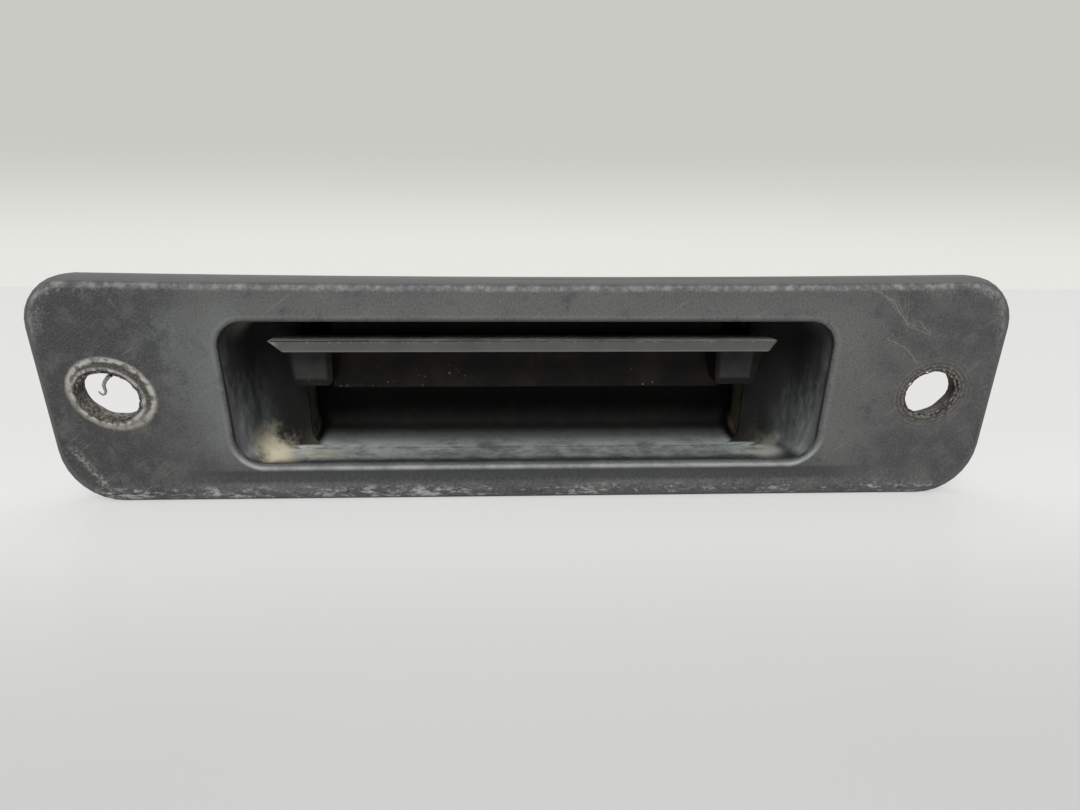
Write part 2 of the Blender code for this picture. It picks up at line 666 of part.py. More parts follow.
def lip():
    """The finger lip, a bar with slanted ends."""
    top, low = LIP_HALF, LIP_HALF - LIP_SLANT
    under = LIP_TOP - LIP_THICKNESS
    corners = [(-low, under), (low, under), (top, LIP_TOP), (-top, LIP_TOP)]
    return bevelled(prism(corners, 1, LIP_FRONT, LIP_BACK), LIP_EDGE)


def leg(side):
    """A leg below the lip's end, with rounded lower corners."""
    top, low, inner = LEG_TOP_HALF, LEG_FOOT_HALF, LEG_INNER_HALF
    under, high = LIP_TOP - LIP_THICKNESS, LIP_TOP - LIP_THICKNESS / 2
    corners = [(inner, LEG_LOW), (low, LEG_LOW), (top, under), (top, high), (inner, high)]
    corners = [(side * x, z) for x, z in corners]

    def lower_corner(edge):
        heights = [vertex.co.z for vertex in edge.verts]
        return max(heights) < LEG_LOW + FIT and abs(edge.verts[0].co.y - edge.verts[1].co.y) > FIT

    return bevelled(prism(corners, 1, LEG_FRONT, LEG_FRONT + LEG_DEPTH), LEG_CORNER, lower_corner, 4)


def web(side):
    """The arm that joins a leg to its knuckle."""
    front, back = LEG_FRONT + LEG_DEPTH - 2 * FIT, LEG_FRONT + LEG_DEPTH + LEG_CORNER + 2 * MM
    low, high = LEG_LOW + 2 * FIT, LIP_TOP - 2 * FIT
    reach = 0.96 * KNUCKLE_RADIUS
    corners = [
        (front, low),
        (back, low),
        (HINGE.y + reach * cos(radians(25)), HINGE.z - reach * sin(radians(25))),
        (HINGE.y - reach * cos(radians(40)), HINGE.z + reach * sin(radians(40))),
        (front, high),
    ]
    return prism(corners, 0, *sorted((side * KNUCKLE_START, side * KNUCKLE_END)))


def gusset(side):
    """The slanted web in the corner of a leg and the panel, which narrows downwards."""
    root, back = LEG_INNER_HALF + FIT, PANEL_FRONT + FIT
    rings = []
    ends = ((LEG_LOW + LEG_CORNER, GUSSET_FOOT), (LIP_TOP - LIP_THICKNESS + FIT, GUSSET_WIDTH))
    for height, reach in ends:
        plan = [(root, PANEL_FRONT - GUSSET_DEPTH), (root - reach, back), (root, back)]
        rings.append([Vector((side * x, y, height)) for x, y in plan])
    return loft(rings)


def panel():
    """The skirt below the lip, the bridge that carries it and the spine above, as one section."""
    back = PANEL_FRONT + PANEL_THICKNESS
    under = LIP_TOP - LIP_THICKNESS - RUNNING_GAP
    top = under + BRIDGE_THICKNESS
    start = LIP_BACK - PANEL_START
    corners = [
        (start, under),
        (PANEL_FRONT - MM, under),
        (PANEL_FRONT, under - MM),
        (PANEL_FRONT, PANEL_LOW),
        (back, PANEL_LOW),
        (back, SPINE_TOP),
        (PANEL_FRONT, SPINE_TOP),
        (PANEL_FRONT, top),
        (start, top),
    ]
    reach = LEG_INNER_HALF + FIT
    return prism(corners, 0, -reach, reach)


def stop_rib(x):
    """A rib behind the panel that comes to rest on a buffer."""
    start = PANEL_FRONT + PANEL_THICKNESS - FIT
    end = POCKET_DEPTH - BUFFER_HEAD - 2 * FIT
    half = BUFFER_RADIUS * 0.6
    corners = [(start, BUFFER_HEIGHT - 2 * half), (end, BUFFER_HEIGHT - half), (end, BUFFER_HEIGHT + half)]
    corners.append((start, BUFFER_HEIGHT + 1.5 * half))
    return prism(corners, 0, x - STOP_RIB / 2, x + STOP_RIB / 2)


def lever(finish, axis):
    """The pull lever: lip, skirt panel, legs and knuckles in one moulding."""
    piece = add_piece("lever", lip(), finish, axis, HINGE)
    combine(piece, "lever_legs", "UNION", merged([leg(-1), leg(1)]), HINGE)
    combine(piece, "lever_panel", "UNION", panel(), HINGE)
    combine(piece, "lever_gussets", "UNION", merged([gusset(-1), gusset(1)]), HINGE)
    combine(piece, "lever_webs", "UNION", merged([web(-1), web(1)]), HINGE)
    knuckles = hinge_rods(KNUCKLE_RADIUS, KNUCKLE_START, KNUCKLE_END)
    combine(piece, "lever_knuckles", "UNION", knuckles, HINGE)
    combine(piece, "lever_stops", "UNION", merged([stop_rib(x) for x in buffer_places()]), HINGE)
    reach = Vector((BOSS_FACE, 0, 0))
    bore = rod(SHAFT_RADIUS + FIT, HINGE - reach, HINGE + reach)
    combine(piece, "lever_bore", "DIFFERENCE", bore, HINGE)
    combine(piece, "lever_pin_hole", "DIFFERENCE", drive_pin_shape(FIT), HINGE)
    return piece


def drive_pin_shape(clearance=0.0):
    """The pin that locks the shaft in the right knuckle, or with a clearance the hole for it."""
    x = (KNUCKLE_START + KNUCKLE_END) / 2
    low = HINGE.z - KNUCKLE_RADIUS + FIT - clearance
    high = HINGE.z + KNUCKLE_RADIUS - FIT + 3 * clearance
    return rod(DRIVE_PIN_RADIUS + clearance, (x, HINGE.y, low), (x, HINGE.y, high), 16)


def shaft_ring(x, radius, flat=None):
    """A section of the shaft, with two flats where the crank fits."""
    limit = radius if flat is None else flat
    points = []
    for step in range(ROUND_STEPS):
        angle = 2 * pi * step / ROUND_STEPS
        height = max(-limit, min(limit, radius * sin(angle)))
        points.append(Vector((x, HINGE.y + radius * cos(angle), HINGE.z + height)))
    return points


def shaft(finish, axis):
    """The hinge shaft, grooved for its clips."""
    groove = CLIP_THICKNESS + FIT
    narrow = SHAFT_RADIUS - GROOVE_DEPTH
    left, right = LEFT_CLIP, RIGHT_CLIP
    rings = [
        shaft_ring(left - groove - SHAFT_TAIL, SHAFT_RADIUS),
        shaft_ring(left - groove, SHAFT_RADIUS),
        shaft_ring(left - groove, narrow),
        shaft_ring(left, narrow),
        shaft_ring(left, SHAFT_RADIUS),
        shaft_ring(CRANK_START - FIT, SHAFT_RADIUS),
        shaft_ring(CRANK_START - FIT, SHAFT_RADIUS, SHAFT_FLAT),
        shaft_ring(right, SHAFT_RADIUS, SHAFT_FLAT),
        shaft_ring(right, narrow, SHAFT_FLAT - FIT),
        shaft_ring(right + groove, narrow, SHAFT_FLAT - FIT),
        shaft_ring(right + groove, SHAFT_RADIUS, SHAFT_FLAT),
        shaft_ring(right + groove + SHAFT_TAIL, SHAFT_RADIUS, SHAFT_FLAT),
    ]
    piece = add_piece("hinge_shaft", loft(rings), finish, axis, HINGE)
    combine(piece, "shaft_pin_hole", "DIFFERENCE", drive_pin_shape(FIT), HINGE)
    return piece


def clip(name, start, centre, groove_radius, finish, axis, origin):
    """A spring clip: a ring with a gap at its foot, that grips a groove."""
    inner = groove_radius + FIT
    gap = 0.7
    steps = 20
    angles = [-pi / 2 + gap + (2 * pi - 2 * gap) * step / steps for step in range(steps + 1)]
    edge = [(CLIP_RADIUS * cos(angle), CLIP_RADIUS * sin(angle)) for angle in angles]
    edge += [(inner * cos(angle), inner * sin(angle)) for angle in reversed(angles)]
    corners = [(centre.y + y, centre.z + z) for y, z in edge]
    add_piece(name, prism(corners, 0, start, start + CLIP_THICKNESS), finish, axis, origin)


def bushes(finish, frame):
    """Flanged plastic bearings in the bezel's hinge bosses."""
    bore = SHAFT_RADIUS + FIT
    flange = BUSH_FLANGE
    length = BUSH_END - (HINGE_WALL - FIT)
    profile = [
        (0, bore),
        (0, BUSH_FLANGE_RADIUS),
        (flange, BUSH_FLANGE_RADIUS),
        (flange, BUSH_RADIUS),
        (flange + length, BUSH_RADIUS),
        (flange + length, bore),
    ]
    for name, side in (("bush_left", -1), ("bush_right", 1)):
        start = HINGE + Vector((side * (HINGE_WALL - FIT - flange), 0, 0))
        add_piece(name, turned(profile, start, (side, 0, 0)), finish, frame)


def return_spring(finish, frame):
    """A torsion spring: one leg bears on the ledge's back, the other lifts the crank."""
    ledge_leg = LEDGE_BACK + FIT + SPRING_WIRE
    arm_low = HINGE.z - crank_half_width(SPRING_LEG) / cos(CRANK_FALL) - tan(CRANK_FALL) * SPRING_LEG
    lift = arm_low - FIT - 1.2 * SPRING_WIRE
    points = [
        Vector((SPRING_START, ledge_leg, HINGE.z - SPRING_LEG)),
        Vector((SPRING_START, ledge_leg, HINGE.z - SPRING_LEG / 2)),
    ]
    turns = SPRING_TURNS - 0.625
    count = round(WIRE_STEPS * turns)
    for step in range(count + 1):
        angle = pi - 2 * pi * turns * step / count
        x = SPRING_START + (SPRING_END - SPRING_START) * step / count
        y, z = HINGE.y + SPRING_RADIUS * cos(angle), HINGE.z + SPRING_RADIUS * sin(angle)
        points.append(Vector((x, y, z)))
    leg_end = HINGE.y + SPRING_LEG
    points.append(Vector((SPRING_END, leg_end - SPRING_WIRE, lift + SPRING_WIRE)))
    points.append(Vector((SPRING_END + SPRING_WIRE, leg_end, lift)))
    points.append(Vector((CRANK_FACE, leg_end, lift)))
    curve = bpy.data.curves.new("return_spring", "CURVE")
    curve.dimensions = "3D"
    curve.bevel_depth = SPRING_WIRE
    curve.bevel_resolution = 2
    curve.use_fill_caps = True
    spline = curve.splines.new("POLY")
    spline.points.add(len(points) - 1)
    for target, point in zip(spline.points, points):
        target.co = (*point, 1)
    curve.materials.append(finish)
    spring = bpy.data.objects.new("return_spring", curve)
    spring.parent = frame
    bpy.context.scene.collection.objects.link(spring)


def crank_half_width(distance):
    """Half width of the crank's arm at a distance from the shaft."""
    return CRANK_HUB + (CRANK_END - CRANK_HUB) * distance / CRANK_LENGTH


def crank(finish, axis):
    """The pressed steel arm on the shaft's right end."""
    lean = asin((CRANK_HUB - CRANK_END) / CRANK_LENGTH)
    along = Vector((0, cos(CRANK_FALL), -sin(CRANK_FALL)))
    across = Vector((0, sin(CRANK_FALL), cos(CRANK_FALL)))
    corners = []
    for centre, radius, start, end in (
        (SWIVEL, CRANK_END, -pi / 2 + lean, pi / 2 - lean),
        (HINGE, CRANK_HUB, pi / 2 - lean, 3 * pi / 2 + lean),
    ):
        steps = 12
        for step in range(steps + 1):
            angle = start + (end - start) * step / steps
            point = centre + radius * (along * cos(angle) + across * sin(angle))
            corners.append((point.y, point.z))
    piece = add_piece("crank", prism(corners, 0, CRANK_START, CRANK_FACE), finish, axis, HINGE)
    ends = (CRANK_START - CRANK_THICKNESS, CRANK_FACE + CRANK_THICKNESS)
    flats = loft([shaft_ring(x, SHAFT_RADIUS + FIT, SHAFT_FLAT + FIT) for x in ends])
    journal = rod(SWIVEL_JOURNAL + FIT, *[SWIVEL + Vector((x, 0, 0)) for x in ends])
    combine(piece, "crank_holes", "DIFFERENCE", merged([flats, journal]), HINGE)


def rod_swivel(finish, axis):
    """The barrel that takes the release rod, turning in the crank's end."""
    groove = CLIP_THICKNESS + FIT
    start = SWIVEL_CLIP - groove - SHAFT_TAIL
    narrow = SWIVEL_JOURNAL - GROOVE_DEPTH
    chamfer = 0.5 * MM
    end = SWIVEL_START + SWIVEL_LENGTH
    profile = [
        (start, 0),
        (start, SWIVEL_JOURNAL),
        (SWIVEL_CLIP - groove, SWIVEL_JOURNAL),
        (SWIVEL_CLIP - groove, narrow),
        (SWIVEL_CLIP, narrow),
        (SWIVEL_CLIP, SWIVEL_JOURNAL),
        (SWIVEL_START, SWIVEL_JOURNAL),
        (SWIVEL_START, SWIVEL_RADIUS),
        (end - chamfer, SWIVEL_RADIUS),
        (end, SWIVEL_RADIUS - chamfer),
        (end, 0),
    ]
    barrel = turned(profile, (0, SWIVEL.y, SWIVEL.z), (1, 0, 0), closed=False)
    piece = add_piece("rod_swivel", barrel, finish, axis, SWIVEL)
    hole_start = Vector((GUIDE_X, SWIVEL.y, SWIVEL.z - 2 * SWIVEL_RADIUS))
    hole_end = Vector((GUIDE_X, SWIVEL.y, SWIVEL.z + 2 * SWIVEL_RADIUS))
    combine(piece, "rod_hole", "DIFFERENCE", rod(ROD_RADIUS + FIT / 2, hole_start, hole_end, 20), SWIVEL)


def buffers(finish, frame):
    """Rubber stops that snap through the pocket's back wall."""
    stem = CUP_WALL + 2 * FIT
    chamfer = 0.4 * MM
    barb = BUFFER_STEM + 0.9 * MM
    profile = [
        (0, 0),
        (0, BUFFER_RADIUS - chamfer),
        (chamfer, BUFFER_RADIUS),
        (BUFFER_HEAD, BUFFER_RADIUS),
        (BUFFER_HEAD, BUFFER_STEM),
        (BUFFER_HEAD + stem, BUFFER_STEM),
        (BUFFER_HEAD + stem, barb),
        (BUFFER_HEAD + stem + MM, barb - chamfer),
        (BUFFER_HEAD + stem + 2 * MM, BUFFER_STEM - chamfer),
        (BUFFER_HEAD + stem + 2 * MM, 0),
    ]
    for name, x in zip(("buffer_left", "buffer_right"), buffer_places()):
        start = (x, POCKET_DEPTH - FIT - BUFFER_HEAD, BUFFER_HEIGHT)
        add_piece(name, turned(profile, start, (0, 1, 0), closed=False), finish, frame)


def bracket_bend(inner):
    """Corners of the bend from the bracket's base into its shelf."""
    steps = 4
    centre = (BRACKET_BACK + MM, SHELF_TOP + MM)
    radius = MM if inner else MM + BRACKET_SHEET
    angles = [pi + pi / 2 * step / steps for step in range(steps + 1)]
    return [(centre[0] + radius * cos(angle), centre[1] + radius * sin(angle)) for angle in angles]


def rod_bracket(finish, frame):
    """The bent steel bracket behind the cup: base, shelf for the rod's guide, and turned-down edge."""
    lip_front = BRACKET_REACH - BRACKET_SHEET
    outer = [(BRACKET_FACE, BRACKET_TOP)] + bracket_bend(False)
    outer += [(lip_front, SHELF_HEIGHT), (lip_front, 0), (BRACKET_REACH, 0), (BRACKET_REACH, SHELF_TOP)]
    section = outer + list(reversed(bracket_bend(True))) + [(BRACKET_BACK, BRACKET_TOP)]
    right = BRACKET_LEFT + BRACKET_WIDTH
    piece = add_piece("rod_bracket", prism(section, 0, BRACKET_LEFT, right), finish, frame)
    front = BRACKET_BACK + 2 * MM
    wing = [(front, SHELF_HEIGHT), (lip_front, SHELF_HEIGHT), (lip_front, 0), (BRACKET_REACH, 0)]
    wing += [(BRACKET_REACH, SHELF_TOP), (front, SHELF_TOP)]
    end = GUIDE_X + GUIDE_RADIUS + BRACKET_MARGIN / 2
    combine(piece, "bracket_wing", "UNION", prism(wing, 0, right - MM, end))
    holes = [
        rod(SCREW_RADIUS + FIT, (x, BRACKET_FACE - MM, SCREW_HEIGHT), (x, BRACKET_BACK + MM, SCREW_HEIGHT))
        for x in screw_places()
    ]
    holes.append(
        rod(GUIDE_RADIUS + FIT, (GUIDE_X, SWIVEL.y, SHELF_HEIGHT - MM), (GUIDE_X, SWIVEL.y, SHELF_TOP + MM))
    )
    combine(piece, "bracket_holes", "DIFFERENCE", merged(holes))


def rod_guide(finish, frame):
    """The plastic grommet in the bracket's shelf."""
    flange = GUIDE_RADIUS + GUIDE_FLANGE
    low = SHELF_HEIGHT - FIT
    high = SHELF_TOP + FIT
    thick = GUIDE_FLANGE_THICKNESS
    profile = [
        (low - thick, GUIDE_BORE),
        (low - thick, flange - thick / 2),
        (low - thick / 2, flange),
        (low, flange),
        (low, GUIDE_RADIUS),
        (high, GUIDE_RADIUS),
        (high, flange),
        (high + thick / 2, flange),
        (high + thick, flange - thick / 2),
        (high + thick, GUIDE_BORE),
    ]
    add_piece("rod_guide", turned(profile, (GUIDE_X, SWIVEL.y, 0), (0, 0, 1)), finish, frame)


def bracket_screws(finish, frame):
    """Pan head screws with a cross recess."""
    head_start = BRACKET_BACK + FIT
    head_end = head_start + SCREW_HEAD_DEPTH
    tip = POCKET_DEPTH + CUP_WALL / 2 + FIT
    profile = [
        (tip, 0),
        (tip, SCREW_RADIUS - 0.5 * MM),
        (tip + MM, SCREW_RADIUS),
        (head_start, SCREW_RADIUS),
        (head_start, SCREW_HEAD),
        (head_end - MM, SCREW_HEAD),
        (head_end - 0.3 * MM, SCREW_HEAD - 0.7 * MM),
        (head_end, SCREW_RADIUS),
        (head_end, 0),
    ]
    for name, x in zip(("bracket_screw_inner", "bracket_screw_outer"), screw_places()):
        shape = turned(profile, (x, 0, SCREW_HEIGHT), (0, 1, 0), closed=False)
        piece = add_piece(name, shape, finish, frame)
        arm, half = 1.7 * MM, 0.35 * MM
        deep, past = head_end - 1.2 * MM, head_end + MM
        low, high = SCREW_HEIGHT - arm, SCREW_HEIGHT + arm
        upright = block((x - half, x + half), (deep, past), (low, high))
        level = block((x - arm, x + arm), (deep, past), (SCREW_HEIGHT - half, SCREW_HEIGHT + half))
        combine(piece, name + "_upright", "DIFFERENCE", upright)
        combine(piece, name + "_level", "DIFFERENCE", level)


def build():
    for stale in list(bpy.data.objects):
        bpy.data.objects.remove(stale)
    plastic = material("weathered_black_plastic", (0.1, 0.104, 0.102), 0.62)
    lever_plastic = material("lever_black_plastic", (0.05, 0.052, 0.05), 0.5)
    nylon = material("black_nylon", (0.02, 0.02, 0.02), 0.45)
    rubber = material("rubber", (0.02, 0.02, 0.02), 0.85)
    foam = material("gasket_foam", (0.03, 0.03, 0.032), 0.95)
    steel = material("zinc_plated_steel", (0.6, 0.6, 0.57), 0.35, 1.0)
    spring_steel = material("spring_steel", (0.45, 0.45, 0.46), 0.3, 1.0)
    brass = material("brass", (0.72, 0.55, 0.25), 0.3, 1.0)

    frame = empty("handle_frame", (0, -BRACKET_REACH / 2, 0))
    lever_axis = empty("lever_axis", HINGE, frame)
    swivel_axis = empty("swivel_axis", SWIVEL - HINGE, lever_axis)

    bezel(plastic, frame)
    gasket(foam, frame)
    inserts(brass, frame)
    bushes(nylon, frame)
    buffers(rubber, frame)
    return_spring(spring_steel, frame)
    rod_bracket(steel, frame)
    rod_guide(nylon, frame)
    bracket_screws(steel, frame)

    lever(lever_plastic, lever_axis)
    shaft(steel, lever_axis)
    add_piece("drive_pin", drive_pin_shape(), steel, lever_axis, HINGE)
    crank(steel, lever_axis)
    groove = SHAFT_RADIUS - GROOVE_DEPTH
    left_start = LEFT_CLIP - CLIP_THICKNESS - FIT / 2
    clip("shaft_clip_left", left_start, HINGE, groove, spring_steel, lever_axis, HINGE)
    clip("shaft_clip_right", RIGHT_CLIP + FIT / 2, HINGE, groove, spring_steel, lever_axis, HINGE)

    rod_swivel(steel, swivel_axis)
    groove = SWIVEL_JOURNAL - GROOVE_DEPTH
    swivel_start = SWIVEL_CLIP - CLIP_THICKNESS - FIT / 2
    clip("swivel_clip", swivel_start, SWIVEL, groove, spring_steel, swivel_axis, SWIVEL)


build()
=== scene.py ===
from math import atan2, cos, pi, radians, sin, sqrt

import bmesh
import bpy
from mathutils import Matrix, Vector, noise


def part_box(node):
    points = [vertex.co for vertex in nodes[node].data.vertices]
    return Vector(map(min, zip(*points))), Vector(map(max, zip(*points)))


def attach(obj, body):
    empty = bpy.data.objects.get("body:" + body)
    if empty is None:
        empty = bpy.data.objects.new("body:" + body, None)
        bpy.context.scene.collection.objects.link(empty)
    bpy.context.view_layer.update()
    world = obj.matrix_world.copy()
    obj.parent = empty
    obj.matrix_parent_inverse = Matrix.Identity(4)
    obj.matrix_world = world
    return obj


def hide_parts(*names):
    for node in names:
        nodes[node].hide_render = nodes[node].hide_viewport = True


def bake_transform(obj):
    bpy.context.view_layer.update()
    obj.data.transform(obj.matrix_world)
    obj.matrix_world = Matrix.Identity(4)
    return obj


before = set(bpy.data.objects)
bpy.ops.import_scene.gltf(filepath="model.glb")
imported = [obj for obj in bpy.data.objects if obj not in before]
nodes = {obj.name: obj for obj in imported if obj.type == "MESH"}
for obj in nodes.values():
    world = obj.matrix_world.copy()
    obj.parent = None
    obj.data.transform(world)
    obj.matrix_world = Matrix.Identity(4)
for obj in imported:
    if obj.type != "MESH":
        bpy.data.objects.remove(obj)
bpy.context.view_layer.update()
mm = 0.001
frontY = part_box("bezel")[0].y  # the plate's front face, all masks are measured from it
edgeTurn = radians(34)  # CAD edges that turn more than this are rounded
flatTurn = radians(0.6)  # faces that turn less than this become one
weldGap = 2e-6  # metres
plasticShine = 0.14  # specular level of the weathered mouldings
print("frame loaded:", len(nodes), "nodes, front face at", round(frontY, 5))


cameraSetup = {
    "lens": 28.0,
    "sensor": 36.0,
    "nearClip": 0.005,
    "place": (-7.6, -210.1007, 71.7),  # mm
    "yaw": 3.0,  # degrees towards +X
    "pitch": 14.9,  # degrees down
    "roll": 0.48,  # degrees
}


def makeCamera(setup):
    yaw, pitch, roll = (radians(setup[key]) for key in ("yaw", "pitch", "roll"))
    ahead = Vector((sin(yaw) * cos(pitch), cos(yaw) * cos(pitch), -sin(pitch)))
    right = Vector((cos(yaw), -sin(yaw), 0))
    up = right.cross(ahead)
    turned = Matrix((right * cos(roll) + up * sin(roll), up * cos(roll) - right * sin(roll),
                     -ahead))
    data = bpy.data.cameras.new("photoCamera")
    data.lens = setup["lens"]
    data.sensor_width = setup["sensor"]
    data.clip_start = setup["nearClip"]
    camera = bpy.data.objects.new("photoCamera", data)
    bpy.context.scene.collection.objects.link(camera)
    place = turned.transposed().to_4x4()
    place.translation = Vector(setup["place"]) * mm
    camera.matrix_world = place
    bpy.context.scene.camera = camera


makeCamera(cameraSetup)
print("camera placed")


# material nodes: each call adds a node, or a short chain of them, and gives the output

def put(tree, socket, value):
    if isinstance(value, bpy.types.NodeSocket):
        tree.links.new(value, socket)
    else:
        socket.default_value = value


def calc(tree, operation, *values, clamp=False):
    node = tree.nodes.new("ShaderNodeMath")
    node.operation = operation
    node.use_clamp = clamp
    for socket, value in zip(node.inputs, values):
        put(tree, socket, value)
    return node.outputs[0]


def vectorCalc(tree, operation, *values, scale=None):
    node = tree.nodes.new("ShaderNodeVectorMath")
    node.operation = operation
    for socket, value in zip(node.inputs, values):
        put(tree, socket, value)
    if scale is not None:
        put(tree, node.inputs["Scale"], scale)
    return node.outputs["Value" if operation in ("LENGTH", "DOT_PRODUCT") else "Vector"]


def fade(tree, value, low, high, start=0.0, end=1.0):
    node = tree.nodes.new("ShaderNodeMapRange")
    node.interpolation_type = "SMOOTHSTEP"
    for name, given in (("Value", value), ("From Min", low), ("From Max", high),
                        ("To Min", start), ("To Max", end)):
        put(tree, node.inputs[name], given)
    return node.outputs["Result"]


def cloud(tree, place, scale, detail=3.0, rough=0.55, stretch=None):
    if stretch:
        place = vectorCalc(tree, "MULTIPLY", place, stretch)
    node = tree.nodes.new("ShaderNodeTexNoise")
    for name, given in (("Vector", place), ("Scale", scale), ("Detail", detail),
                        ("Roughness", rough)):
        put(tree, node.inputs[name], given)
    return node.outputs["Fac"]


def hairlines(tree, place, turn, spacing, thin):
    # fine parallel rubbing marks, turned in the plate's plane
    node = tree.nodes.new("ShaderNodeVectorRotate")
    node.rotation_type = "Y_AXIS"
    put(tree, node.inputs["Vector"], place)
    node.inputs["Angle"].default_value = radians(turn)
    drawnOut = (0.06, 1.0, 1.0)
    lines = cloud(tree, node.outputs[0], spacing, 3.0, 0.5, drawnOut)
    return fade(tree, lines, thin, thin + 0.10)


def cells(tree, place, scale):
    node = tree.nodes.new("ShaderNodeTexVoronoi")
    put(tree, node.inputs["Vector"], place)
    put(tree, node.inputs["Scale"], scale)
    return node.outputs["Distance"]


def tint(tree, amount, under, over):
    node = tree.nodes.new("ShaderNodeMix")
    node.data_type = "RGBA"
    put(tree, node.inputs["Factor"], amount)
    for socket, value in ((node.inputs[6], under), (node.inputs[7], over)):
        put(tree, socket, value if isinstance(value, bpy.types.NodeSocket) else (*value, 1.0))
    return node.outputs[2]


def both(tree, *values):
    result = values[0]
    for value in values[1:]:
        result = calc(tree, "MULTIPLY", result, value)
    return result


def most(tree, *values):
    result = values[0]
    for value in values[1:]:
        result = calc(tree, "MAXIMUM", result, value)
    return result


def apart(tree, value, middle):
    # how far a value lies from a middle one, on either side
    return calc(tree, "ABSOLUTE", calc(tree, "SUBTRACT", value, middle))


def farFrom(tree, place, middle):
    return vectorCalc(tree, "LENGTH", vectorCalc(tree, "SUBTRACT", place, middle))


def newFinish(name):
    made = bpy.data.materials.new(name)
    made.use_nodes = True
    tree = made.node_tree
    shader = tree.nodes["Principled BSDF"]
    coords = tree.nodes.new("ShaderNodeTexCoord")
    # millimetres from the plate's front face, its foot and its middle
    place = vectorCalc(tree, "SCALE", coords.outputs["Object"], scale=1000.0)
    place = vectorCalc(tree, "SUBTRACT", place, (0.0, frontY * 1000, 0.0))
    return made, tree, shader, place


def relief(tree, shader, height):
    # height in millimetres
    node = tree.nodes.new("ShaderNodeBump")
    node.inputs["Strength"].default_value = 1.0
    node.inputs["Distance"].default_value = mm
    put(tree, node.inputs["Height"], height)
    tree.links.new(node.outputs["Normal"], shader.inputs["Normal"])


def split(tree, vector):
    node = tree.nodes.new("ShaderNodeSeparateXYZ")
    put(tree, node.inputs[0], vector)
    return node.outputs


def facing(tree):
    # the surface's own direction, the same from every camera
    node = tree.nodes.new("ShaderNodeNewGeometry")
    return split(tree, node.outputs["Normal"])


def cornerDepth(tree, side, edge, radius):
    # how far inside a rounded corner a point lies, from its distances to the two edges
    sideIn = calc(tree, "SUBTRACT", radius, side)
    edgeIn = calc(tree, "SUBTRACT", radius, edge)
    outSide = calc(tree, "MAXIMUM", sideIn, 0.0)
    outEdge = calc(tree, "MAXIMUM", edgeIn, 0.0)
    reach = calc(tree, "SQRT", calc(tree, "ADD", both(tree, outSide, outSide),
                                    both(tree, outEdge, outEdge)))
    within = calc(tree, "MINIMUM", calc(tree, "MAXIMUM", sideIn, edgeIn), 0.0)
    return calc(tree, "SUBTRACT", radius, calc(tree, "ADD", reach, within))


def outlineDepth(tree, x, z, shape):
    # distance inside a rounded outline that widens upwards, negative outside it
    half = calc(tree, "MULTIPLY_ADD", z, shape["widen"], shape["half"])
    side = calc(tree, "MULTIPLY", calc(tree, "SUBTRACT", half, calc(tree, "ABSOLUTE", x)),
                1 / sqrt(1 + shape["widen"] ** 2))
    top = calc(tree, "SUBTRACT", shape["top"], z)
    if shape.get("dip"):
        span = calc(tree, "DIVIDE", x, shape["half"])
        bow = calc(tree, "MULTIPLY_ADD", both(tree, span, span), shape["dip"], -shape["dip"])
        top = calc(tree, "ADD", top, bow)
    bottom = calc(tree, "SUBTRACT", z, shape["bottom"])
    upper = cornerDepth(tree, side, top, shape["upperCorner"])
    lower = cornerDepth(tree, side, bottom, shape["lowerCorner"])
    return calc(tree, "MINIMUM", upper, lower)


def lineNear(tree, place, start, end):
    # distance in the plate's plane from a straight scratch
    along = Vector((end[0] - start[0], 0.0, end[1] - start[1]))
    first = vectorCalc(tree, "SUBTRACT", place, (start[0], 0.0, start[1]))
    share = calc(tree, "MULTIPLY", vectorCalc(tree, "DOT_PRODUCT", first, tuple(along)),
                 1 / along.length_squared, clamp=True)
    reached = vectorCalc(tree, "SCALE", tuple(along), scale=share)
    return vectorCalc(tree, "LENGTH", vectorCalc(tree, "SUBTRACT", first, reached))


def ringShare(tree, x, z, ring):
    # 1 on the hole's own rim, growing outwards
    turn = radians(ring["turn"])
    dx = calc(tree, "SUBTRACT", x, ring["middle"][0])
    dz = calc(tree, "SUBTRACT", z, ring["middle"][1])
    along = calc(tree, "ADD", calc(tree, "MULTIPLY", dx, cos(turn)),
                 calc(tree, "MULTIPLY", dz, sin(turn)))
    across = calc(tree, "SUBTRACT", calc(tree, "MULTIPLY", dz, cos(turn)),
                  calc(tree, "MULTIPLY", dx, sin(turn)))
    along = calc(tree, "DIVIDE", along, ring["half"][0])
    across = calc(tree, "DIVIDE", across, ring["half"][1])
    return calc(tree, "SQRT", calc(tree, "ADD", both(tree, along, along),
                                   both(tree, across, across)))


plateShape = {"half": 105.15, "widen": 0.11583, "top": 51.8, "bottom": 0.0, "dip": 0.75,
              "upperCorner": 10.5, "lowerCorner": 13.8}
openingShape = {"half": 65.7, "widen": 0.0892, "top": 41.5, "bottom": 9.0,
                "upperCorner": 6.0, "lowerCorner": 6.0}
hollowShape = {"half": 65.7, "widen": 0.0892, "top": 41.5, "bottom": 6.9,
               "upperCorner": 6.0, "lowerCorner": 6.0}
leftHole = {"middle": (-93.45, 25.0), "half": (7.4, 5.7), "turn": -20}
leftWasher = {"middle": (-92.6, 25.6), "half": (9.8, 7.8), "turn": -24}
rightHole = {"middle": (92.75, 25.0), "half": (6.5, 5.3), "turn": 25}

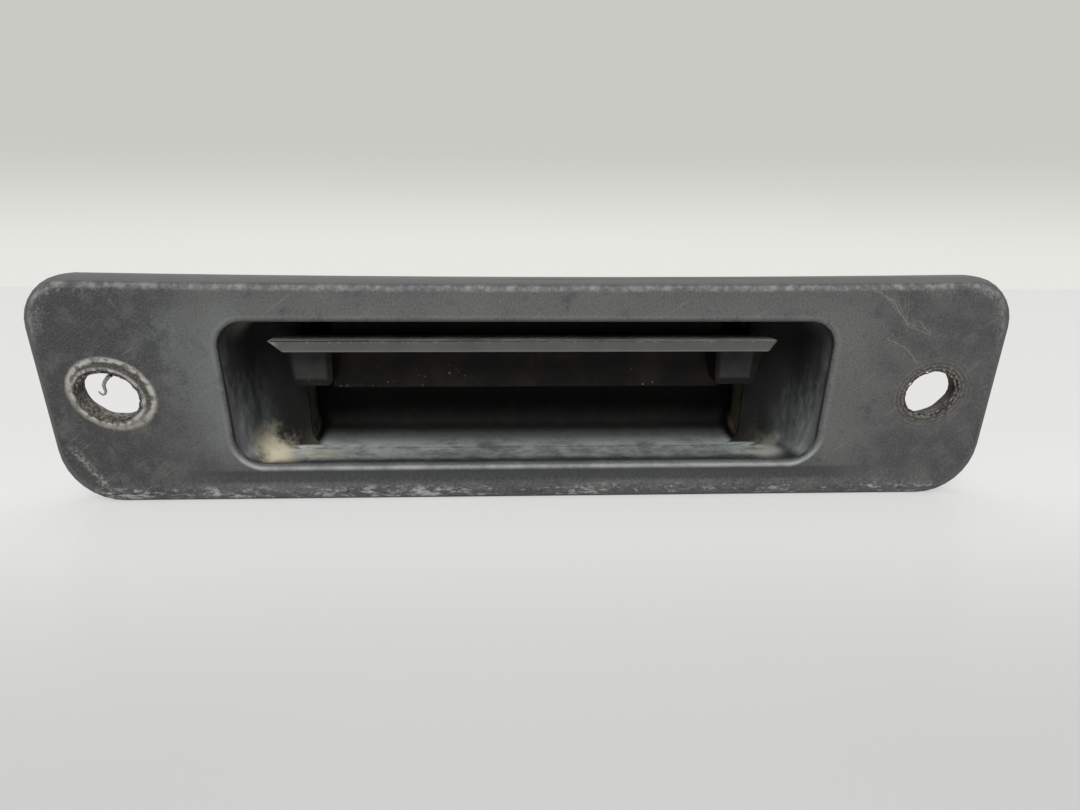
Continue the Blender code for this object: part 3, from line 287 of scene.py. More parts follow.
plateLook = {
    # unfaded black, also used as painted shade along the opening's edge
    "fresh": (0.010, 0.010, 0.0095),
    "wall": (0.050, 0.053, 0.052),
    "faded": (0.076, 0.0785, 0.078),
    "patch": (0.112, 0.114, 0.111),
    "field": (0.150, 0.155, 0.149),  # round the opening
    "cool": (0.140, 0.158, 0.157),  # the cloudy patch left of it
    "mottle": (0.128, 0.129, 0.124),
    "shade": (0.058, 0.060, 0.060),
    "speckle": (0.180, 0.180, 0.172),
    "pit": (0.040, 0.040, 0.039),
    "hairline": (0.21, 0.20, 0.18),
    "rim": (0.120, 0.114, 0.115),
    # painted highlight beside the opening
    "beside": (0.17, 0.188, 0.185),
    # polished rolled edge, with a painted highlight
    "bead": (0.36, 0.375, 0.37),
    "chalk": (0.50, 0.51, 0.50),
    "washer": (0.48, 0.47, 0.43),
    # painted shade in the washer grooves
    "groove": (0.040, 0.035, 0.030),
    # painted light on the lit lower left side of the left washer's groove
    "worn": (0.165, 0.155, 0.135),
    "scratch": (0.25, 0.225, 0.19),
    "torn": (0.20, 0.185, 0.16),
    "under": (0.050, 0.053, 0.052),
    # painted shade deep in the pocket
    "pocket": (0.0025, 0.0025, 0.002),
    # dust and painted light on the cup's lower walls
    "wallDust": (0.31, 0.33, 0.336),
    # painted highlight in the cup's upper left corner
    "stain": (0.24, 0.205, 0.165),
    # painted light on the pocket's side faces
    "flank": (0.115, 0.098, 0.072),
    "dust": (0.50, 0.54, 0.532),
    "backDust": (0.30, 0.26, 0.19),
    "dirt": (0.86, 0.79, 0.59),
    # rust stain, darkened as painted shade
    "rust": (0.008, 0.0065, 0.0045),
    "hidden": (0.022, 0.022, 0.021),
    "cloudLine": ((-78.0, 38.0), (-73.0, 27.0)),
    "rubLine": ((-102.5, 13.0), (-96.5, 4.8)),
    "stainPlace": (-61.5, 6.5, 39.5),
    "leftDirt": (-61.3, 10.6, 7.8),
    "rightDirt": (57.5, 11.5, 8.4),
    "sideDirt": (-50.0, 14.0, 7.5),
    "washerRings": ((1.06, 0.06, 1.0), (1.20, 0.05, 0.8), (1.36, 0.035, 0.45), (1.52, 0.03, 0.3)),
    "scratches": [  # start, end, half width, strength
        ((76.3, 49.1), (81.2, 46.4), 0.22, 0.75),
        ((77.6, 48.9), (82.3, 45.8), 0.16, 0.5),
        ((81.2, 46.4), (85.8, 40.5), 0.25, 0.85),
        ((82.0, 46.8), (86.3, 40.2), 0.16, 0.5),
        ((85.8, 40.5), (90.7, 38.7), 0.2, 0.7),
        ((86.0, 41.4), (91.0, 39.6), 0.15, 0.5),
        ((87.7, 42.1), (90.9, 39.0), 0.22, 0.8),
        ((80.8, 38.0), (85.8, 35.5), 0.2, 0.7),
        ((85.8, 35.5), (88.8, 31.9), 0.22, 0.7),
        ((79.9, 37.0), (86.2, 38.9), 0.15, 0.35),
        ((84.8, 49.1), (85.1, 38.3), 0.15, 0.35),
        ((85.1, 38.3), (85.2, 31.3), 0.15, 0.3),
        ((82.1, 39.0), (80.8, 38.0), 0.2, 0.6),
        ((80.7, 50.0), (84.5, 48.6), 0.2, 0.4),
        ((81.5, 47.0), (84.7, 47.9), 0.14, 0.4),
        ((79.3, 47.9), (81.8, 44.8), 0.16, 0.6),
        ((81.8, 44.8), (83.9, 42.9), 0.16, 0.6),
        ((84.9, 42.0), (88.0, 39.7), 0.18, 0.7),
        ((88.1, 38.8), (90.0, 41.1), 0.15, 0.5),
        ((81.3, 36.9), (84.0, 38.3), 0.16, 0.5),
        ((84.0, 38.3), (88.1, 39.3), 0.14, 0.4),
        ((83.8, 47.0), (85.5, 39.3), 0.14, 0.4),
        ((-87.2, 40.5), (-82.8, 38.2), 0.18, 0.3),
        ((-84.0, 41.6), (-80.2, 36.4), 0.15, 0.25),
    ],
}


def platePlastic(look):
    made, tree, shader, place = newFinish("fadedPlatePlastic")
    x, y, z = split(tree, place)
    nx, ny, nz = facing(tree)
    plate = outlineDepth(tree, x, z, plateShape)
    opening = outlineDepth(tree, x, z, openingShape)
    hollow = outlineDepth(tree, x, z, hollowShape)
    grain = cloud(tree, place, 2.1, 6.0, 0.78)
    ragged = cloud(tree, place, 1.1, 5.0, 0.72)
    blotch = cloud(tree, place, 0.20, 5.0, 0.68)
    patches = cloud(tree, place, 0.045, 4.0, 0.6)
    inside = calc(tree, "MAXIMUM", fade(tree, opening, -0.1, 0.7),
                  both(tree, fade(tree, hollow, -0.15, 0.15), fade(tree, y, 0.5, 1.3)))
    onFace = both(tree, calc(tree, "SUBTRACT", 1.0, inside), fade(tree, y, 4.5, 7.0, 1.0, 0.0))

    # sun-faded face with lighter patches, a speckled grain and fine rubbing marks
    colour = tint(tree, fade(tree, patches, 0.40, 0.66), look["faded"], look["patch"])
    # both ends stay darker than the field round the opening
    ends = most(tree, fade(tree, x, -88.0, -70.0, 0.75, 0.0), fade(tree, x, 86.0, 100.0, 0.0, 0.30))
    colour = tint(tree, ends, colour, look["under"])
    near = both(tree, fade(tree, opening, -16.0, -2.0), fade(tree, z, 8.0, 16.0), 0.6)
    colour = tint(tree, near, colour, look["field"])
    flat = vectorCalc(tree, "MULTIPLY", place, (1.0, 0.0, 1.0))
    cloudy = fade(tree, lineNear(tree, flat, *look["cloudLine"]), 1.0, 11.0, 0.55, 0.0)
    colour = tint(tree, both(tree, cloudy, fade(tree, blotch, 0.34, 0.60)), colour, look["cool"])
    colour = tint(tree, fade(tree, blotch, 0.46, 0.66, 0.0, 0.55), colour, look["mottle"])
    colour = tint(tree, fade(tree, blotch, 0.32, 0.46, 0.55, 0.0), colour, look["shade"])
    colour = tint(tree, fade(tree, grain, 0.50, 0.70, 0.0, 0.70), colour, look["speckle"])
    colour = tint(tree, fade(tree, grain, 0.32, 0.50, 0.80, 0.0), colour, look["pit"])
    marks = most(tree, both(tree, hairlines(tree, place, 35, 1.4, 0.60), 0.34),
                 both(tree, hairlines(tree, place, -62, 1.7, 0.62), 0.28))
    colour = tint(tree, both(tree, marks, fade(tree, blotch, 0.4, 0.55)), colour, look["hairline"])
    rim = fade(tree, plate, 1.1, 1.7, 0.8, 0.0)
    colour = tint(tree, rim, colour, look["rim"])
    # painted highlight: the soft pale, cool band beside the opening, where light falls on the
    # face's slight curve
    beside = both(tree, fade(tree, opening, -7.0, -2.0), fade(tree, opening, -0.9, -0.4, 1.0, 0.0),
                  fade(tree, x, -68.0, -60.0, 1.0, 0.0), fade(tree, z, 6.0, 14.0), 0.30)
    colour = tint(tree, beside, colour, look["beside"])
    below = both(tree, fade(tree, z, 4.0, 5.2), fade(tree, z, 7.0, 8.0, 1.0, 0.0),
                 fade(tree, calc(tree, "ABSOLUTE", x), 66.0, 84.0, 0.85, 0.0))
    colour = tint(tree, below, colour, look["under"])
    # the rolled edge under the opening is polished and pale, with a painted highlight along its
    # crest
    bead = fade(tree, calc(tree, "ABSOLUTE", calc(tree, "ADD", opening, 1.1)), 0.1, 0.8, 1.0, 0.0)
    bead = both(tree, bead, fade(tree, z, 8.5, 15.0, 1.0, 0.10))
    colour = tint(tree, both(tree, bead, fade(tree, blotch, 0.3, 0.65, 0.5, 0.95)), colour,
                  look["bead"])

    # the crest is rubbed pale, thin along the top and ragged along the foot
    crest = fade(tree, apart(tree, plate, 2.0), 0.1, 1.1, 1.0, 0.0)
    wide = fade(tree, apart(tree, plate, 2.8), 0.2, 2.6, 1.0, 0.0)
    topShare = fade(tree, z, 30.0, 47.0)
    spread = cloud(tree, place, 0.10, 2.0, 0.5)
    soft = cloud(tree, place, 0.55, 2.5, 0.6)
    topLine = both(tree, crest, topShare, fade(tree, soft, 0.40, 0.66, 0.10, 0.42),
                   fade(tree, spread, 0.3, 0.6, 0.45, 1.0))
    under = fade(tree, apart(tree, plate, 1.35), 0.06, 0.32, 0.45, 0.0)
    cornerWear = both(tree, wide, fade(tree, calc(tree, "ABSOLUTE", x), 84.0, 102.0), topShare,
                      fade(tree, grain, 0.44, 0.66, 0.0, 0.30), fade(tree, blotch, 0.38, 0.6))
    streaks = cloud(tree, place, 0.75, 7.0, 0.78, (0.45, 1.0, 1.3))
    footZone = both(tree, fade(tree, z, 0.35, 0.8), fade(tree, z, 1.8, 4.8, 1.0, 0.0))
    footLeft = both(tree, fade(tree, x, -98.0, -80.0), fade(tree, x, -18.0, 6.0, 1.0, 0.0))
    footLevel = calc(tree, "SUBTRACT", fade(tree, footLeft, 0.0, 1.0, 0.52, 0.49),
                     fade(tree, spread, 0.35, 0.65, -0.035, 0.035))
    footMask = fade(tree, streaks, footLevel, calc(tree, "ADD", footLevel, 0.13))
    footMask = both(tree, footZone, footMask, 0.9)
    haze = both(tree, fade(tree, z, 3.0, 8.0, 0.09, 0.0), fade(tree, ragged, 0.42, 0.6))
    chalk = most(tree, topLine, cornerWear, footMask, haze)

    # washers have rubbed rings round the two holes
    shake = fade(tree, soft, 0.3, 0.7, -0.02, 0.02)
    left = calc(tree, "ADD", ringShare(tree, x, z, leftHole), shake)
    washer = calc(tree, "ADD", ringShare(tree, x, z, leftWasher), shake)
    fore = fade(tree, ny, -0.1, 0.3, 1.0, 0.0)
    leftSide = both(tree, fade(tree, x, -82.0, -80.0, 1.0, 0.0), fore)
    outer = fade(tree, apart(tree, washer, 0.95), 0.02, 0.115, 1.0, 0.0)
    inner = fade(tree, apart(tree, left, 1.07), 0.02, 0.11, 1.0, 0.0)
    overTop = fade(tree, calc(tree, "MULTIPLY_ADD", x, 0.35, z), -12.0, -5.0, 0.45, 1.0)
    leftRing = most(tree, both(tree, outer, overTop, fade(tree, soft, 0.36, 0.56, 0.30, 0.9)),
                    both(tree, inner, fade(tree, soft, 0.38, 0.60, 0.15, 0.8)))
    leftRing = both(tree, leftRing, leftSide)
    leftGroove = both(tree, fade(tree, washer, 0.92, 1.08, 0.9, 0.0), leftSide)
    scuffed = both(tree, leftGroove, fade(tree, grain, 0.42, 0.62, 0.0, 0.28))
    right = calc(tree, "ADD", ringShare(tree, x, z, rightHole),
                 fade(tree, ragged, 0.3, 0.7, -0.06, 0.06))
    rings = []
    for share, width, strength in look["washerRings"]:
        rings.append(fade(tree, apart(tree, right, share), width * 0.3, width, strength, 0.0))
    rightSide = both(tree, fade(tree, x, 80.0, 82.0), fore)
    rightRing = both(tree, most(tree, *rings), fade(tree, ragged, 0.38, 0.60, 0.0, 0.8), rightSide)
    rightGroove = both(tree, fade(tree, right, 1.12, 1.34, 0.6, 0.0), rightSide)
    # inside the holes: torn pale walls with a black edge
    nearest = calc(tree, "MINIMUM", calc(tree, "DIVIDE", left, calc(tree, "ADD", leftSide, 0.001)),
                   calc(tree, "DIVIDE", right, calc(tree, "ADD", rightSide, 0.001)))
    holeWall = both(tree, fade(tree, nearest, 0.93, 1.0, 1.0, 0.0),
                    fade(tree, y, 4.0, 4.6, 1.0, 0.0))
    holeEdge = fade(tree, apart(tree, nearest, 0.985), 0.01, 0.05, 1.0, 0.0)

    # scratches waver a little
    waver = tree.nodes.new("ShaderNodeTexNoise")
    put(tree, waver.inputs["Vector"], place)
    put(tree, waver.inputs["Scale"], 0.35)
    shift = vectorCalc(tree, "SUBTRACT", waver.outputs["Color"], (0.5, 0.5, 0.5))
    wavered = vectorCalc(tree, "ADD", place, vectorCalc(tree, "SCALE", shift, scale=1.1))
    wavered = vectorCalc(tree, "MULTIPLY", wavered, (1.0, 0.0, 1.0))
    scratch = 0.0  # one line after the other, the shader holds few values at a time
    for start, end, width, strength in look["scratches"]:
        near = lineNear(tree, wavered, start, end)
        line = fade(tree, near, width * 0.2, width * 0.75, strength, 0.0)
        scratch = calc(tree, "MAXIMUM", scratch, line)
    scratch = both(tree, scratch, fade(tree, ragged, 0.35, 0.55, 0.25, 1.0))
    rub = both(tree, fade(tree, lineNear(tree, wavered, *look["rubLine"]), 0.1, 1.4, 0.5, 0.0),
               fade(tree, ragged, 0.42, 0.62))

    # painted light and shade in the washer grooves: the left one lit on its lower left and shaded
    # on its upper right, the right one shaded all round
    lit = fade(tree, calc(tree, "MULTIPLY_ADD", x, 0.5, z), -24.0, -18.0, 1.0, 0.0)
    lit = both(tree, lit, fade(tree, ragged, 0.36, 0.60, 0.35, 1.0))
    groove = tint(tree, lit, look["groove"], look["worn"])
    colour = tint(tree, both(tree, most(tree, leftGroove, rightGroove), onFace), colour, groove)
    colour = tint(tree, both(tree, most(tree, leftRing, scuffed, rub), onFace), colour,
                  look["washer"])
    colour = tint(tree, both(tree, most(tree, rightRing, scratch), onFace), colour, look["scratch"])
    colour = tint(tree, both(tree, under, topShare, onFace), colour, look["pit"])
    colour = tint(tree, both(tree, chalk, onFace), colour, look["chalk"])
    torn = tint(tree, fade(tree, ragged, 0.40, 0.60), look["pit"], look["torn"])
    colour = tint(tree, holeWall, colour, torn)
    colour = tint(tree, both(tree, holeEdge, fade(tree, ragged, 0.36, 0.5, 1.0, 0.35), onFace),
                  colour, look["fresh"])

    # the cup stays black at the top, its pocket at the back gets painted shade darker than black
    # plastic; dust greys its floor and, with painted light, its lower walls; dirt lies in its
    # corners
    level = fade(tree, nz, 0.66, 0.92)
    run = cloud(tree, place, 0.55, 5.0, 0.7, (1.0, 1.0, 0.45))
    # dust and painted light: the cup's walls are paler low down and near the mouth, darker upwards
    # and deeper in
    low = fade(tree, calc(tree, "ADD", z, fade(tree, run, 0.3, 0.7, 2.5, -2.5)),
               9.0, 31.0, 1.0, 0.08)
    wallDust = both(tree, low, fade(tree, y, 3.0, 13.0, 1.0, 0.35),
                    fade(tree, y, 13.0, 17.0, 1.0, 0.0), fade(tree, run, 0.30, 0.66, 0.70, 1.0),
                    fade(tree, nz, 0.5, 0.85, 1.0, 0.0))
    black = tint(tree, fade(tree, y, 16.0, 19.0), look["fresh"], look["pocket"])
    cup = tint(tree, wallDust, black, look["wallDust"])
    edge = both(tree, fade(tree, y, 1.2, 5.5, 1.0, 0.0), fade(tree, run, 0.34, 0.60, 0.3, 1.0),
                fade(tree, z, 30.0, 40.0, 1.0, 0.35), fade(tree, z, 9.0, 12.0))
    cup = tint(tree, edge, cup, look["patch"])
    # painted highlight: a light brownish patch high in the cup's upper left corner
    corner = farFrom(tree, place, look["stainPlace"])
    cup = tint(tree, both(tree, fade(tree, corner, 1.0, 7.5, 0.9, 0.0),
                          fade(tree, run, 0.35, 0.6, 0.5, 1.0)), cup, look["stain"])
    # painted light: the pocket's side faces are lit light brown towards the cup only, not on their
    # outside
    turned = both(tree, nx, calc(tree, "SIGN", x))
    inwards = fade(tree, turned, 0.1, 0.4, 1.0, 0.0)
    flank = both(tree, fade(tree, turned, -0.6, -0.3, 1.0, 0.0),
                 fade(tree, calc(tree, "ABSOLUTE", x), 52.2, 52.9), fade(tree, y, 17.0, 17.8),
                 fade(tree, y, 23.0, 27.0, 1.0, 0.0), fade(tree, z, 28.0, 36.0, 1.0, 0.0))
    cup = tint(tree, flank, cup, look["flank"])
    # a rust stain low at the pocket's front, darkened to near black as painted shade
    stain = both(tree, fade(tree, y, 15.0, 19.0), fade(tree, blotch, 0.44, 0.64),
                 fade(tree, z, 12.0, 28.0, 0.8, 0.0))
    cup = tint(tree, stain, cup, look["rust"])
    # dust lies on the floor as far as the pocket's back wall, a dark groove runs behind the
    # rolled edge
    back = fade(tree, calc(tree, "ADD", y, fade(tree, blotch, 0.35, 0.65, -1.0, 1.0)),
                18.5, 27.0, 1.0, 0.06)
    foot = both(tree, fade(tree, y, 26.0, 28.0), fade(tree, z, 8.0, 13.0, 0.10, 0.0))
    riser = both(tree, fade(tree, apart(tree, y, 16.5), 0.25, 0.6, 1.0, 0.0),
                 fade(tree, z, 8.0, 8.6, 1.0, 0.0), fade(tree, nz, -0.3, 0.0))
    dusty = both(tree, most(tree, level, riser), fade(tree, z, 11.0, 15.0, 1.0, 0.0), back,
                 fade(tree, y, 6.8, 10.6, 0.13, 0.86), fade(tree, y, 11.0, 16.0, 0.86, 1.0),
                 fade(tree, x, -45.0, -10.0, 1.0, 0.82), fade(tree, blotch, 0.32, 0.66, 0.42, 1.0),
                 fade(tree, ragged, 0.3, 0.6, 0.86, 1.0))
    cup = tint(tree, dusty, cup, look["dust"])
    cup = tint(tree, foot, cup, look["backDust"])
    wander = fade(tree, blotch, 0.2, 0.8, -3.5, 3.5)
    drift = vectorCalc(tree, "ADD", place, vectorCalc(tree, "SCALE", (1.0, 0.6, 0.8), scale=wander))
    leftDirt = farFrom(tree, drift, look["leftDirt"])
    rightDirt = farFrom(tree, drift, look["rightDirt"])
    sideDirt = farFrom(tree, drift, look["sideDirt"])
    dirt = most(tree, fade(tree, leftDirt, 0.0, 9.0, 1.0, 0.0),
                fade(tree, rightDirt, 0.0, 8.0, 0.22, 0.0),
                fade(tree, sideDirt, 0.0, 8.0, 0.35, 0.0))
    dirt = both(tree, dirt, fade(tree, blotch, 0.30, 0.62, 0.85, 1.0),
                fade(tree, y, 3.5, 7.0, 0.25, 1.0), fade(tree, y, 14.5, 17.5, 1.0, 0.15),
                inwards, fade(tree, nz, -0.4, -0.1))
    cup = tint(tree, dirt, cup, look["dirt"])
    # painted shade: a thin dark line along the opening's edge, where the face turns away from the
    # light
    crease = fade(tree, apart(tree, opening, 0.10), 0.10, 0.42, 0.85, 0.0)
    crease = both(tree, crease, fade(tree, y, 0.9, 2.0, 1.0, 0.0))
    # what faces backwards never saw the sun
    hidden = tint(tree, fade(tree, patches, 0.4, 0.7, 0.0, 0.25), look["hidden"], look["wall"])
    behind = calc(tree, "SUBTRACT", 1.0, calc(tree, "MAXIMUM", onFace, inside))
    colour = tint(tree, inside, colour, cup)
    colour = tint(tree, both(tree, crease, fade(tree, z, 9.5, 12.0)), colour, look["fresh"])
    colour = tint(tree, behind, colour, hidden)
    put(tree, shader.inputs["Base Color"], colour)

    rough = fade(tree, grain, 0.3, 0.7, 0.50, 0.66)
    rough = calc(tree, "MAXIMUM", rough, both(tree, most(tree, chalk, dusty, dirt), 0.95))
    put(tree, shader.inputs["Roughness"], rough)
    shader.inputs["Specular IOR Level"].default_value = plasticShine
    # scratches, dirt and the chalky foot have no height: with them the shader gets too long
    height = both(tree, grain, 0.045)
    height = calc(tree, "ADD", height, both(tree, leftRing, ragged, 0.20))
    ridge = calc(tree, "ADD", both(tree, outer, leftSide, 0.16), both(tree, leftGroove, -0.10))
    ridge = calc(tree, "ADD", ridge, both(tree, bead, 0.22))
    relief(tree, shader, calc(tree, "ADD", height, ridge))
    return made


leverLook = {
    # the lever's black, darker than black plastic: painted shade on its spine and skirt
    "plain": (0.0065, 0.0065, 0.006),
    "tab": (0.042, 0.043, 0.042),
    # painted light on the lip's top
    "ledge": (0.62, 0.59, 0.52),
    "worn": (0.118, 0.122, 0.112),
    "rubbed": (0.34, 0.34, 0.31),
    "brown": (0.024, 0.018, 0.012),
    "speck": (0.30, 0.27, 0.21),
}


def leverPlastic(look):
    made, tree, shader, place = newFinish("leverPlastic")
    x, y, z = split(tree, place)
    _, ny, nz = facing(tree)
    grain = cloud(tree, place, 3.0, 3.0, 0.6)
    ragged = cloud(tree, place, 1.0, 5.0, 0.7)
    patches = cloud(tree, place, 0.12, 4.0, 0.6)
    facesOut = fade(tree, ny, -0.6, -0.3, 1.0, 0.0)
    front = both(tree, facesOut, fade(tree, y, 6.5, 8.0, 1.0, 0.0))
    # painted shadow: the tabs' paler face stops short of their edges, leaving a dark outline for
    # the gaps round them
    across = calc(tree, "ABSOLUTE", calc(tree, "ADD", x, 0.95))
    sideGap = calc(tree, "MINIMUM", calc(tree, "SUBTRACT", across, 45.5),
                   calc(tree, "SUBTRACT", calc(tree, "MULTIPLY_ADD", z, 0.10, 52.1), across))
    rimGap = calc(tree, "MINIMUM", sideGap, calc(tree, "SUBTRACT", z, 25.6))
    tabs = both(tree, facesOut, fade(tree, y, 8.0, 9.0), fade(tree, y, 13.0, 12.0, 0.0, 1.0))
    colour = tint(tree, fade(tree, patches, 0.4, 0.7, 0.0, 0.7), look["plain"], look["brown"])
    tabs = both(tree, tabs, fade(tree, rimGap, 0.5, 1.5))
    colour = tint(tree, both(tree, tabs, fade(tree, patches, 0.3, 0.6, 0.6, 1.0)), colour,
                  look["tab"])
    # painted light on the lip's top, which lies in shade under the opening's top edge
    onTop = both(tree, fade(tree, nz, 0.93, 0.99), fade(tree, y, 12.0, 13.4, 1.0, 0.0))
    colour = tint(tree, both(tree, onTop, fade(tree, patches, 0.3, 0.6, 0.6, 1.0)), colour,
                  look["ledge"])
    colour = tint(tree, both(tree, front, fade(tree, patches, 0.3, 0.7, 0.82, 1.0)), colour,
                  look["worn"])
    underEdge = both(tree, fade(tree, apart(tree, z, 34.05), 0.1, 0.4, 1.0, 0.0), 0.22)
    upperEdge = both(tree, fade(tree, apart(tree, z, 36.3), 0.1, 0.4, 1.0, 0.0),
                     fade(tree, ragged, 0.5, 0.64, 0.0, 0.5))
    tip = both(tree, fade(tree, x, -59.0, -56.5, 1.0, 0.0),
               fade(tree, ragged, 0.36, 0.56, 0.4, 1.0))
    rubbed = both(tree, most(tree, underEdge, upperEdge, tip), front)
    colour = tint(tree, rubbed, colour, look["rubbed"])
    specks = both(tree, fade(tree, cells(tree, place, 0.55), 0.08, 0.20, 1.0, 0.0),
                  fade(tree, patches, 0.5, 0.6), fade(tree, z, 26.0, 30.0, 1.0, 0.0), 0.6)
    crumbs = both(tree, fade(tree, apart(tree, z, 23.8), 0.2, 0.7, 1.0, 0.0),
                  fade(tree, x, -38.0, -34.0, 1.0, 0.0), fade(tree, ragged, 0.50, 0.66),
                  facesOut, 0.22)
    colour = tint(tree, most(tree, specks, crumbs), colour, look["speck"])
    put(tree, shader.inputs["Base Color"], colour)
    put(tree, shader.inputs["Roughness"], fade(tree, grain, 0.3, 0.7, 0.46, 0.62))
    shader.inputs["Specular IOR Level"].default_value = plasticShine
    relief(tree, shader, both(tree, grain, 0.03))
    return made


def plainPlastic(name, base, dull, worn=(0.09, 0.09, 0.088)):
    made, tree, shader, place = newFinish(name)
    fine = cloud(tree, place, 2.2, 4.0, 0.65)
    broad = cloud(tree, place, 0.3, 3.0)
    colour = tint(tree, fade(tree, broad, 0.45, 0.75, 0.0, 0.35), base, worn)
    put(tree, shader.inputs["Base Color"], colour)
    put(tree, shader.inputs["Roughness"], fade(tree, fine, 0.3, 0.7, dull - 0.08, dull + 0.08))
    relief(tree, shader, both(tree, fine, 0.03))
    return made


def foam(name, base):
    made, tree, shader, place = newFinish(name)
    pores = cells(tree, place, 2.6)
    broad = cloud(tree, place, 0.4, 3.0)
    dark = tuple(part * 0.4 for part in base)
    colour = tint(tree, fade(tree, pores, 0.1, 0.5, 0.8, 0.0), base, dark)
    colour = tint(tree, fade(tree, broad, 0.4, 0.7, 0.0, 0.3), colour, (0.07, 0.068, 0.062))
    put(tree, shader.inputs["Base Color"], colour)
    shader.inputs["Roughness"].default_value = 0.95
    shader.inputs["Specular IOR Level"].default_value = 0.2
    relief(tree, shader, both(tree, pores, 0.15))
    return made


def metal(name, base, stain, polish):
    made, tree, shader, place = newFinish(name)
    drawnOut = (0.2, 1.0, 1.0)
    dark = tuple(part * 0.6 for part in base)
    lay = cloud(tree, place, 2.5, 4.0, 0.6, drawnOut)
    spots = cloud(tree, place, 0.35, 5.0, 0.7)
    colour = tint(tree, fade(tree, spots, 0.50, 0.72, 0.0, 0.75), base, stain)
    colour = tint(tree, fade(tree, lay, 0.3, 0.7, 0.0, 0.18), colour, dark)
    put(tree, shader.inputs["Base Color"], colour)
    shader.inputs["Metallic"].default_value = 1.0
    dulled = fade(tree, spots, 0.50, 0.72, 0.0, 0.3)
    smooth = fade(tree, lay, 0.3, 0.7, polish - 0.05, polish + 0.1)
    put(tree, shader.inputs["Roughness"], calc(tree, "ADD", smooth, dulled))
    relief(tree, shader, calc(tree, "ADD", both(tree, lay, 0.01), both(tree, spots, 0.03)))
    return made


def tornPlastic(name):
    made, tree, shader, place = newFinish(name)
    ragged = cloud(tree, place, 1.6, 5.0, 0.72)
    colour = tint(tree, fade(tree, ragged, 0.44, 0.62), (0.016, 0.015, 0.014), (0.30, 0.275, 0.235))
    put(tree, shader.inputs["Base Color"], colour)
    put(tree, shader.inputs["Roughness"], fade(tree, ragged, 0.3, 0.7, 0.6, 0.9))
    relief(tree, shader, both(tree, ragged, 0.2))
    return made


finishes = {
    "weathered_black_plastic": platePlastic(plateLook),
    "lever_black_plastic": leverPlastic(leverLook),
    "black_nylon": plainPlastic("bushNylon", (0.018, 0.018, 0.019), 0.42),
    "rubber": plainPlastic("bufferRubber", (0.016, 0.016, 0.016), 0.78, (0.04, 0.038, 0.036)),
    "gasket_foam": foam("gasketFoam", (0.032, 0.032, 0.034)),
    "zinc_plated_steel": metal("zincPlate", (0.62, 0.62, 0.59), (0.30, 0.27, 0.20), 0.36),
    "spring_steel": metal("springSteel", (0.42, 0.42, 0.43), (0.17, 0.12, 0.08), 0.28),
    "brass": metal("insertBrass", (0.74, 0.56, 0.26), (0.30, 0.22, 0.12), 0.30),
}
print("finishes made:", len(finishes))


# a CAD node's own shape, merged into clean faces with its edges slightly rounded
refinedParts = {  # node: (piece, body, slot, rounding in mm)
    "bezel": ("bezelShell", "bezel_body", "weathered_black_plastic", 0.30),
    "lever": ("pullLever", "lever_body", "lever_black_plastic", 0.25),
    "gasket": ("gasketStrip", "bezel_body", "gasket_foam", 0.30),
    "insert_lower_left": ("insertLowerLeft", "bezel_body", "brass", 0.12),
    "insert_upper_left": ("insertUpperLeft", "bezel_body", "brass", 0.12),
    "insert_lower_right": ("insertLowerRight", "bezel_body", "brass", 0.12),
    "insert_upper_right": ("insertUpperRight", "bezel_body", "brass", 0.12),
    "bush_left": ("bushLeft", "bezel_body", "black_nylon", 0.15),
    "bush_right": ("bushRight", "bezel_body", "black_nylon", 0.15),
    "buffer_left": ("bufferLeft", "bezel_body", "rubber", 0.2),
    "buffer_right": ("bufferRight", "bezel_body", "rubber", 0.2),
    "rod_bracket": ("rodBracket", "bezel_body", "zinc_plated_steel", 0.15),
    "rod_guide": ("rodGuide", "bezel_body", "black_nylon", 0.15),
    "bracket_screw_inner": ("bracketScrewInner", "bezel_body", "zinc_plated_steel", 0.1),
    "bracket_screw_outer": ("bracketScrewOuter", "bezel_body", "zinc_plated_steel", 0.1),
    "hinge_shaft": ("hingeShaft", "lever_body", "zinc_plated_steel", 0.12),
    "drive_pin": ("drivePin", "lever_body", "zinc_plated_steel", 0.1),
    "crank": ("crankArm", "lever_body", "zinc_plated_steel", 0.12),
    "shaft_clip_left": ("shaftClipLeft", "lever_body", "spring_steel", 0.06),
    "shaft_clip_right": ("shaftClipRight", "lever_body", "spring_steel", 0.06),
    "rod_swivel": ("rodSwivel", "swivel_body", "brass", 0.12),
    "swivel_clip": ("swivelClip", "swivel_body", "spring_steel", 0.06),
}


tabFit = {  # mm, from the plate's front, foot and middle
    "stroke": 15.65,  # what lies further back stays
    "core": 44.0,  # so does what lies nearer to the middle
    "still": (46.6, 46.8),  # and the edges between these two
    "lipEnd": (53.0, 13.1, 33.7),  # the lip's ends lie further out, further forward and higher
    "tipLevel": 35.5,  # their upper corners are above this
    "parting": 50.0,  # between a tab's inner and outer side
    "left": {"tip": -0.6, "end": -1.6, "outer": -1.0, "inner": 0.3},
    "right": {"tip": -1.2, "end": 0.9, "outer": 0.0, "inner": -1.9},
}


def widenTabs(bm, fit):
    # the photo shows wider tabs and slightly shifted lip ends, not the part's even halves
    outMost, frontMost, upMost = fit["lipEnd"]
    low, high = fit["still"]
    for vert in bm.verts:
        x, y, z = vert.co.x / mm, (vert.co.y - frontY) / mm, vert.co.z / mm
        reach = abs(x)
        if y > fit["stroke"] or reach < fit["core"] or low < reach < high:
            continue
        if z > upMost and y < frontMost and reach > outMost:
            spot = "tip" if z > fit["tipLevel"] else "end"
        else:
            spot = "outer" if reach > fit["parting"] else "inner"
        vert.co.x += fit["left" if x < 0 else "right"][spot] * mm


